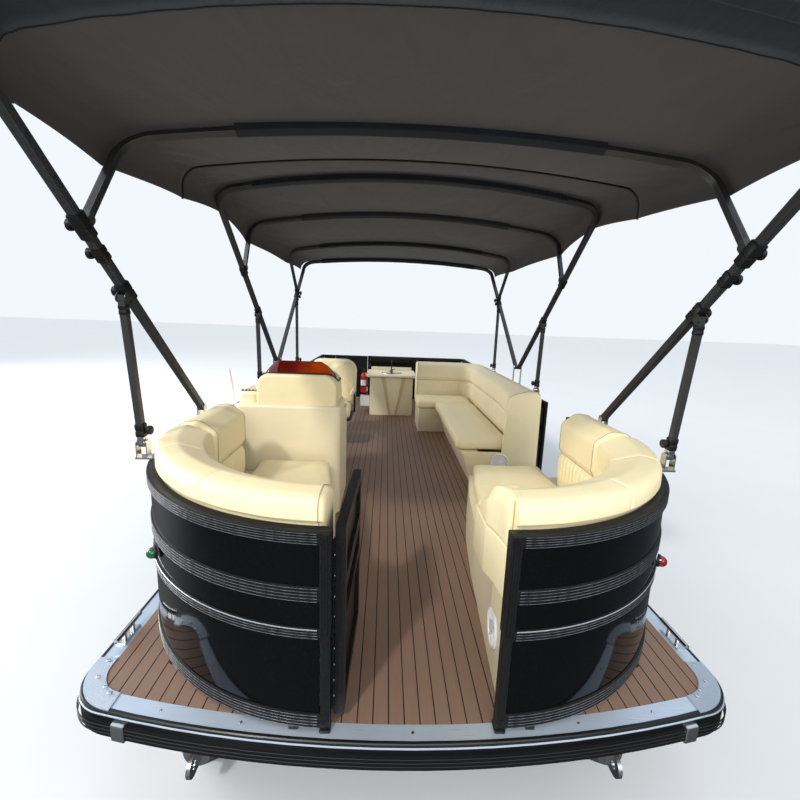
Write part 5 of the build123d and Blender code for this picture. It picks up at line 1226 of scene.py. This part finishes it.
def canvas_rows(cuts, per_span):
    rows = []
    for i, (a, c) in enumerate(zip(cuts, cuts[1:])):
        last = i == len(cuts) - 2
        for k in range(per_span + (1 if last else 0)):
            t = k / per_span
            row = []
            for j, (p, q) in enumerate(zip(a, c)):
                v = p.lerp(q, t)
                edge = abs(j / (len(a) - 1) * 2 - 1)
                span = 4 * t * (1 - t)
                sag = -0.010 * span * (1 - edge ** 4)
                folds = 0.0028 * span * noise.noise(Vector((v.x * 9, v.y * 1.6, 3.1)))
                pull = 0.0045 * math.exp(-((edge - 0.80) / 0.10) ** 2)
                pull *= noise.noise(Vector((v.x * 5 + v.y * 7, v.y * 2, 7.7)))
                # creases fan out of the corners of the bows
                for c0, c1, deep in CREASES:
                    off = edge - (c0 + (c1 - c0) * t)
                    rise = max(0.0, math.sin(math.pi * min(t * 1.15, 1.0))) ** 0.6
                    pull -= deep * rise * math.exp(-(off / 0.010) ** 2)
                # the skirt draws in between the bows
                inward = 0.022 * span * max(0.0, edge - 0.86) / 0.14
                row.append(Vector((v.x - math.copysign(inward, v.x), v.y,
                    v.z + sag + folds + pull * (0.35 + span))))
            rows.append(row)
    return rows


def sheet_piece(name, rows, material="canvas", thick=0.0016, replaces=(), offset=0.0):
    """a thin cloth through rows of points; it has no body yet"""
    b = Build().rings([[v + Vector((0, 0, offset)) for v in row] for row in rows], closed=False, caps=False)
    obj = b.piece(name, material, None, 70, replaces=replaces)
    solid = obj.modifiers.new("cloth", "SOLIDIFY")
    solid.thickness = thick
    solid.offset = 0
    return obj


def row_length(row):
    return sum((b - a).length for a, b in zip(row, row[1:]))


front_rows, rear_rows = canvas_rows(FRONT_CUTS, 18), canvas_rows(REAR_CUTS, 14)
for name, rows, node, pair, start, end, rests in (
    ("front_canvas", front_rows, "top_front_canvas", ("front_top", "front_branch"), 8, 20,
     ["top_front_bow", "top_front_branch"]),
    ("rear_canvas", rear_rows, "top_rear_canvas", ("rear_top", "hull"), 16, 46,
     ["top_rear_bow", "top_rear_branch", "top_aft_branch", "top_aft_bow"]),
):
    obj = sheet_piece(name, rows, replaces=(node,))
    mid = len(rows[0]) // 2
    tuple(rows[start][mid])
    tuple(rows[end][mid])
    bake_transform(obj)
    length = row_length([row[mid] for row in rows])
    width = sum(row_length(row) for row in rows) / len(rows)
    if name == "front_canvas":
        hem = sheet_piece("front_hem", rows[:6], "hem_black", 0.0022, offset=-0.0035)
        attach(hem, "front_top")
        stitch = [v + Vector((0, -0.008, -0.0055)) for v in rows[5][8:-8]]
        b = Build().tube([v + Vector((0, 0.003 * noise.noise(v * 14), 0)) for v in stitch], 0.0024, 6)
        tape = [v + Vector((0, 0.002, -0.004)) for v in rows[-1]]
        hems = [hem, b.tube(rows[0], 0.005, 6).piece("front_hem_binding", "hem_black", "front_top"),
                Build().tube(tape, 0.006, 6).piece("zip_tape_front", "plastic_black", "front_branch")]
    else:
        hems = [Build().tube(rows[0], 0.005, 6).piece("zip_tape_rear", "plastic_black", "rear_top"),
                Build().tube(rows[-1], 0.005, 6).piece("rear_hem_binding", "hem_black")]


# Deck edge, navigation lights and small fittings

def front(x):
    """the station of the deck's curved front edge"""
    big = (1.080 ** 2 + 0.120 ** 2) / 0.240
    return (big - math.sqrt(big ** 2 - x ** 2)) * 1000


def deck_edge_line(grow):
    """the deck's plan from one side round the bow to the other, moved out by grow"""
    last = 6860
    corners = [(-1.25 - grow, at(last), 0), (-1.25 - grow, at(front(1.25)) - grow, 0.190 + grow)]
    corners += [(x, at(front(abs(x))) - grow, 0) for x in [-0.98 + 0.14 * k for k in range(15)]]
    corners += [(1.25 + grow, at(front(1.25)) - grow, 0.190 + grow), (1.25 + grow, at(last), 0)]
    return round_poly(corners, 12, 99)


b = Build()
line = deck_edge_line(0.0168)
b.tube([(x, y, up(-13)) for x, y in line], 0.0034, 8)
b.piece("edge_trim_line", "edge_aluminium")
# a black lip covers the edge's front face and laps over its corner
lip = [(0.001, 0.0004), (0.002, 0.0024), (0.012, 0.0024), (0.0155, -0.001), (0.0155, -0.0335),
    (0.0125, -0.0335), (0.0123, 0.0)]
walls = [[(x, y, DECK + z) for x, y in deck_edge_line(u)] for u, z in lip]
Build().rings([list(ring) for ring in zip(*walls)]).piece("edge_lip", "rub_rubber", angle=30)
b = Build()
line = deck_edge_line(0.026)
for z in (-48, -63, -78):
    b.tube([(x, y, up(z)) for x, y in line], 0.0022, 6)
b.piece("rub_rail_ribs", "rub_rubber")
b = Build()
for s in (1, -1):
    # end clamps of the rub rail beside the corner castings
    place = placed((s * 1.035, at(114) - 0.022, up(-63)), ("Z", s * 0.213))
    section = round_poly([(-0.012, -0.038, 0.004), (0.0165, -0.036, 0.010), (0.0165, 0.034, 0.010),
        (-0.012, 0.036, 0.004)], 4, 1)
    b.rings([[place @ Vector((dx, -u, v)) for u, v in scaled_section(section, i)]
        for dx, i in ((-0.026, 0.003), (-0.023, 0), (0.023, 0), (0.026, 0.003))])
    for px, pd in ((1.118, 178), (1.205, 250), (1.216, 330), (1.150, 205)):
        b.lathe([(0.009, 0.0), (0.008, 0.003), (0.004, 0.0042), (0.0005, 0.0045)], (s * px, at(pd), up(5)),
            12)
for x in [-0.9 + 0.3 * k for k in range(7)]:
    b.lathe([(0.006, 0.0), (0.005, 0.002), (0.0005, 0.003)], (x, at(front(x) + 30), up(0)), 10)
b.piece("edge_clamps_and_screws", "stainless")

for (s, name), material in zip(SIDES, ("lens_red", "lens_green")):
    a = math.radians(-38)
    r = ARC_R + 0.019
    facing = math.atan2(math.sin(a), s * math.cos(a))
    place = placed((s * (ARC_X + r * math.cos(a)), at(ARC_D) + r * math.sin(a), up(450)), ("Z", facing),
        ("Y", math.pi / 2))
    Build().lathe([(0.026, -0.001), (0.027, 0.006), (0.024, 0.011), (0.018, 0.012)], place, 24).piece(
        f"nav_base_{name}", "plastic_black")
    dome = [(0.0225 * math.cos(t), 0.014 + 0.023 * math.sin(t))
        for t in (0.1, 0.35, 0.6, 0.85, 1.1, 1.35, 1.54)]
    Build().lathe([(0.0225, 0.009)] + dome, place, 24).piece(f"nav_dome_{name}", material, angle=60,
        replaces=("nav_lights",))


# Outboard: a smooth cowl over the solid one, its seam and vents, and shaped propeller blades

joints = {row["name"]: row for row in frame["record"]["behaviour"]["joints"]}
tilt = Vector(joints["outboard_tilt"]["pos_m"])
shaft = Vector(joints["outboard_steer"]["axis"])
back = Vector(joints["propeller_spin"]["axis"])
STEER = 0.132


def engine(x, y, z):
    """a point in the outboard's own frame: across, aft of the tilt tube, up the leg"""
    return tilt + Vector((x, 0, 0)) + back * y + shaft * z


def cowl_ring(z, length, width, middle, corner):
    x, fore, aft = width / 2, STEER + middle - length / 2, STEER + middle + length / 2
    return [engine(x, y, z) for x, y in rectangle(-x, x, fore, aft, corner, 9, 9)]


COWL = ((0.082, 0.50, 0.28, 0.050, 0.12), (0.088, 0.555, 0.325, 0.050, 0.13),
    (0.100, 0.585, 0.350, 0.050, 0.135), (0.15, 0.625, 0.387, 0.050, 0.147),
    (0.205, 0.654, 0.413, 0.050, 0.155), (0.211, 0.648, 0.407, 0.050, 0.155),
    (0.217, 0.657, 0.416, 0.050, 0.156), (0.27, 0.664, 0.420, 0.050, 0.160),
    (0.34, 0.660, 0.418, 0.051, 0.160), (0.40, 0.648, 0.411, 0.053, 0.158),
    (0.45, 0.625, 0.398, 0.056, 0.155), (0.50, 0.585, 0.372, 0.061, 0.150),
    (0.535, 0.535, 0.345, 0.066, 0.145), (0.560, 0.485, 0.315, 0.069, 0.140),
    (0.576, 0.40, 0.25, 0.070, 0.115), (0.585, 0.28, 0.16, 0.070, 0.075), (0.588, 0.14, 0.07, 0.070, 0.033))
Build().rings([cowl_ring(*row) for row in COWL]).piece("outboard_cowl", "engine_paint", "engine", 50)
b = Build()
b.tube(cowl_ring(0.2115, 0.652, 0.411, 0.050, 0.155), 0.0045, 8, loop=True)
for s in (1, -1):
    for k in range(4):
        z = 0.30 + 0.022 * k
        b.tube([engine(s * 0.2085, STEER + 0.10 + 0.01 * k, z), engine(s * 0.2080, STEER + 0.24, z)], 0.005,
            8)
b.tube([engine(-0.03, STEER + 0.385, 0.235), engine(0.03, STEER + 0.385, 0.235)], 0.012, 10)
b.piece("cowl_seam_and_vents", "plastic_black", "engine")

hub = tilt + back * 0.385 - shaft * 0.845
b = Build()
place = Matrix.Translation(hub) @ back.to_track_quat("Z", "Y").to_matrix().to_4x4()
b.lathe([(0.022, -0.052), (0.040, -0.051), (0.046, -0.03), (0.047, 0.02), (0.043, 0.051), (0.020, 0.052)],
    place, 28)
b.lathe([(0.019, 0.050), (0.019, 0.064), (0.014, 0.072), (0.001, 0.073)], place, 6)
for k in range(3):
    spin = Matrix.Rotation(math.radians(120 * k - 90), 4, "Z")
    rings = []
    for r, chord, pitch, skew, thick in ((0.040, 0.062, 52, 0.000, 0.0060), (0.060, 0.078, 46, 0.002, 0.0055),
            (0.085, 0.092, 39, 0.006, 0.0045), (0.110, 0.096, 34, 0.012, 0.0038),
            (0.135, 0.086, 30, 0.020, 0.0030), (0.152, 0.062, 27, 0.028, 0.0024),
            (0.160, 0.030, 26, 0.034, 0.0018)):
        ring, a = [], math.radians(pitch)
        for t, side in [(q / 6, 1) for q in range(7)] + [(1 - q / 6, -1) for q in range(1, 6)]:
            c = (t - 0.5) * chord
            h = side * thick * math.sin(math.pi * min(max(t, 0.02), 0.98))
            h += 0.05 * (0.25 - (t - 0.5) ** 2) * chord
            across, axial = skew + c * math.cos(a) - h * math.sin(a), c * math.sin(a) + h * math.cos(a)
            ring.append(place @ spin @ Vector((r, across, axial)))
        rings.append(ring)
    b.rings(rings)
b.piece("propeller_blades", "engine_paint", "propeller", 40, replaces=("propeller",))

# Ladder tread pads, and the pale line along the stern rail: a painted highlight on the rail's top
b = Build()
for k in range(3):
    y = at(7042) - 0.090 - 0.210 * k
    for row in range(5):
        b.box(0.68, 0.98, y - 0.026 + row * 0.0115, y - 0.019 + row * 0.0115, up(51.2), up(53.4), 0.002,
            0.0006)
b.piece("ladder_tread_ribs", "rub_rubber", "ladder")
Build().box(-0.435, 1.170, STERN_Y - 0.012, STERN_Y + 0.012, up(745.5), up(751), 0.003,
    0.0012).piece("stern_rail_painted_highlight", "tube_aluminium")

# Floor at the waterline, plain pale backdrop and soft lights
floor_mesh = bpy.data.meshes.new("water_floor")
FAR = 60
floor_mesh.from_pydata([(-FAR, -FAR, WATER), (FAR, -FAR, WATER), (FAR, FAR, WATER), (-FAR, FAR, WATER)], [],
    [(0, 1, 2, 3)])
floor = bpy.data.objects.new("water_floor", floor_mesh)
bpy.context.collection.objects.link(floor)
pale = Shader("floor_pale")
ripple = pale.noise(1.4, 4)
plain = pale.mix(ripple, rgb(216, 218, 221), rgb(209, 213, 217))
mirrored = pale.node("ShaderNodeLightPath").outputs["Is Glossy Ray"]
pale.surface(Base_Color=pale.mix(mirrored, plain, rgb(52, 58, 62)), Roughness=0.6)
floor_mesh.materials.append(pale.material)

# The world: pale to the camera, bright above and dark at the horizon to anything that mirrors it
world = bpy.data.worlds.new("world")
bpy.context.scene.world = world
world.use_nodes = True
tree = world.node_tree
background = tree.nodes["Background"]
path = tree.nodes.new("ShaderNodeLightPath")
coords = tree.nodes.new("ShaderNodeTexCoord")
parts = tree.nodes.new("ShaderNodeSeparateXYZ")
tree.links.new(coords.outputs["Generated"], parts.inputs["Vector"])
sky = tree.nodes.new("ShaderNodeValToRGB")
tree.links.new(parts.outputs["Z"], sky.inputs["Fac"])
elements = sky.color_ramp.elements
for place, colour in ((0.0, (0.03, 0.035, 0.04, 1)), (0.12, (0.10, 0.11, 0.12, 1)),
        (0.45, (0.45, 0.52, 0.62, 1)), (0.9, (0.80, 0.9, 1.0, 1))):
    e = elements[0] if place == 0 else elements.new(place)
    e.position = place
    e.color = colour
elements[-1].color = (0.85, 0.93, 1.0, 1)
mixed = tree.nodes.new("ShaderNodeMix")
mixed.data_type = "RGBA"
tree.links.new(path.outputs["Is Glossy Ray"], mixed.inputs[0])
mixed.inputs[6].default_value = (0.88, 0.92, 0.97, 1)
tree.links.new(sky.outputs["Color"], mixed.inputs[7])
tree.links.new(mixed.outputs[2], background.inputs["Color"])
background.inputs["Strength"].default_value = 1.02


def lamp(name, kind, energy, place, aim, size, colour):
    """a sun, with its size in degrees, or a square area light, with its size in metres"""
    data = bpy.data.lights.new(name, kind)
    data.energy = energy
    data.color = colour
    if kind == "AREA":
        data.size = size
    else:
        data.angle = math.radians(size)
    obj = bpy.data.objects.new(name, data)
    bpy.context.collection.objects.link(obj)
    obj.location = place
    obj.rotation_mode = "QUATERNION"
    obj.rotation_quaternion = (Vector(aim) - Vector(place)).to_track_quat("-Z", "Y")


lamp("sun", "SUN", 1.6, (-3.2, -6.0, 6.6), (0, -0.5, 0.8), 5.0, (1.0, 0.97, 0.91))
lamp("side_fill", "AREA", 1500, (-13.0, 1.0, 5.0), (0.4, 0.3, 1.2), 8.0, (1.0, 0.99, 0.97))
lamp("front_fill", "AREA", 520, (3.0, -15.0, 7.0), (0, -2.0, 1.2), 8.0, (1.0, 0.98, 0.95))
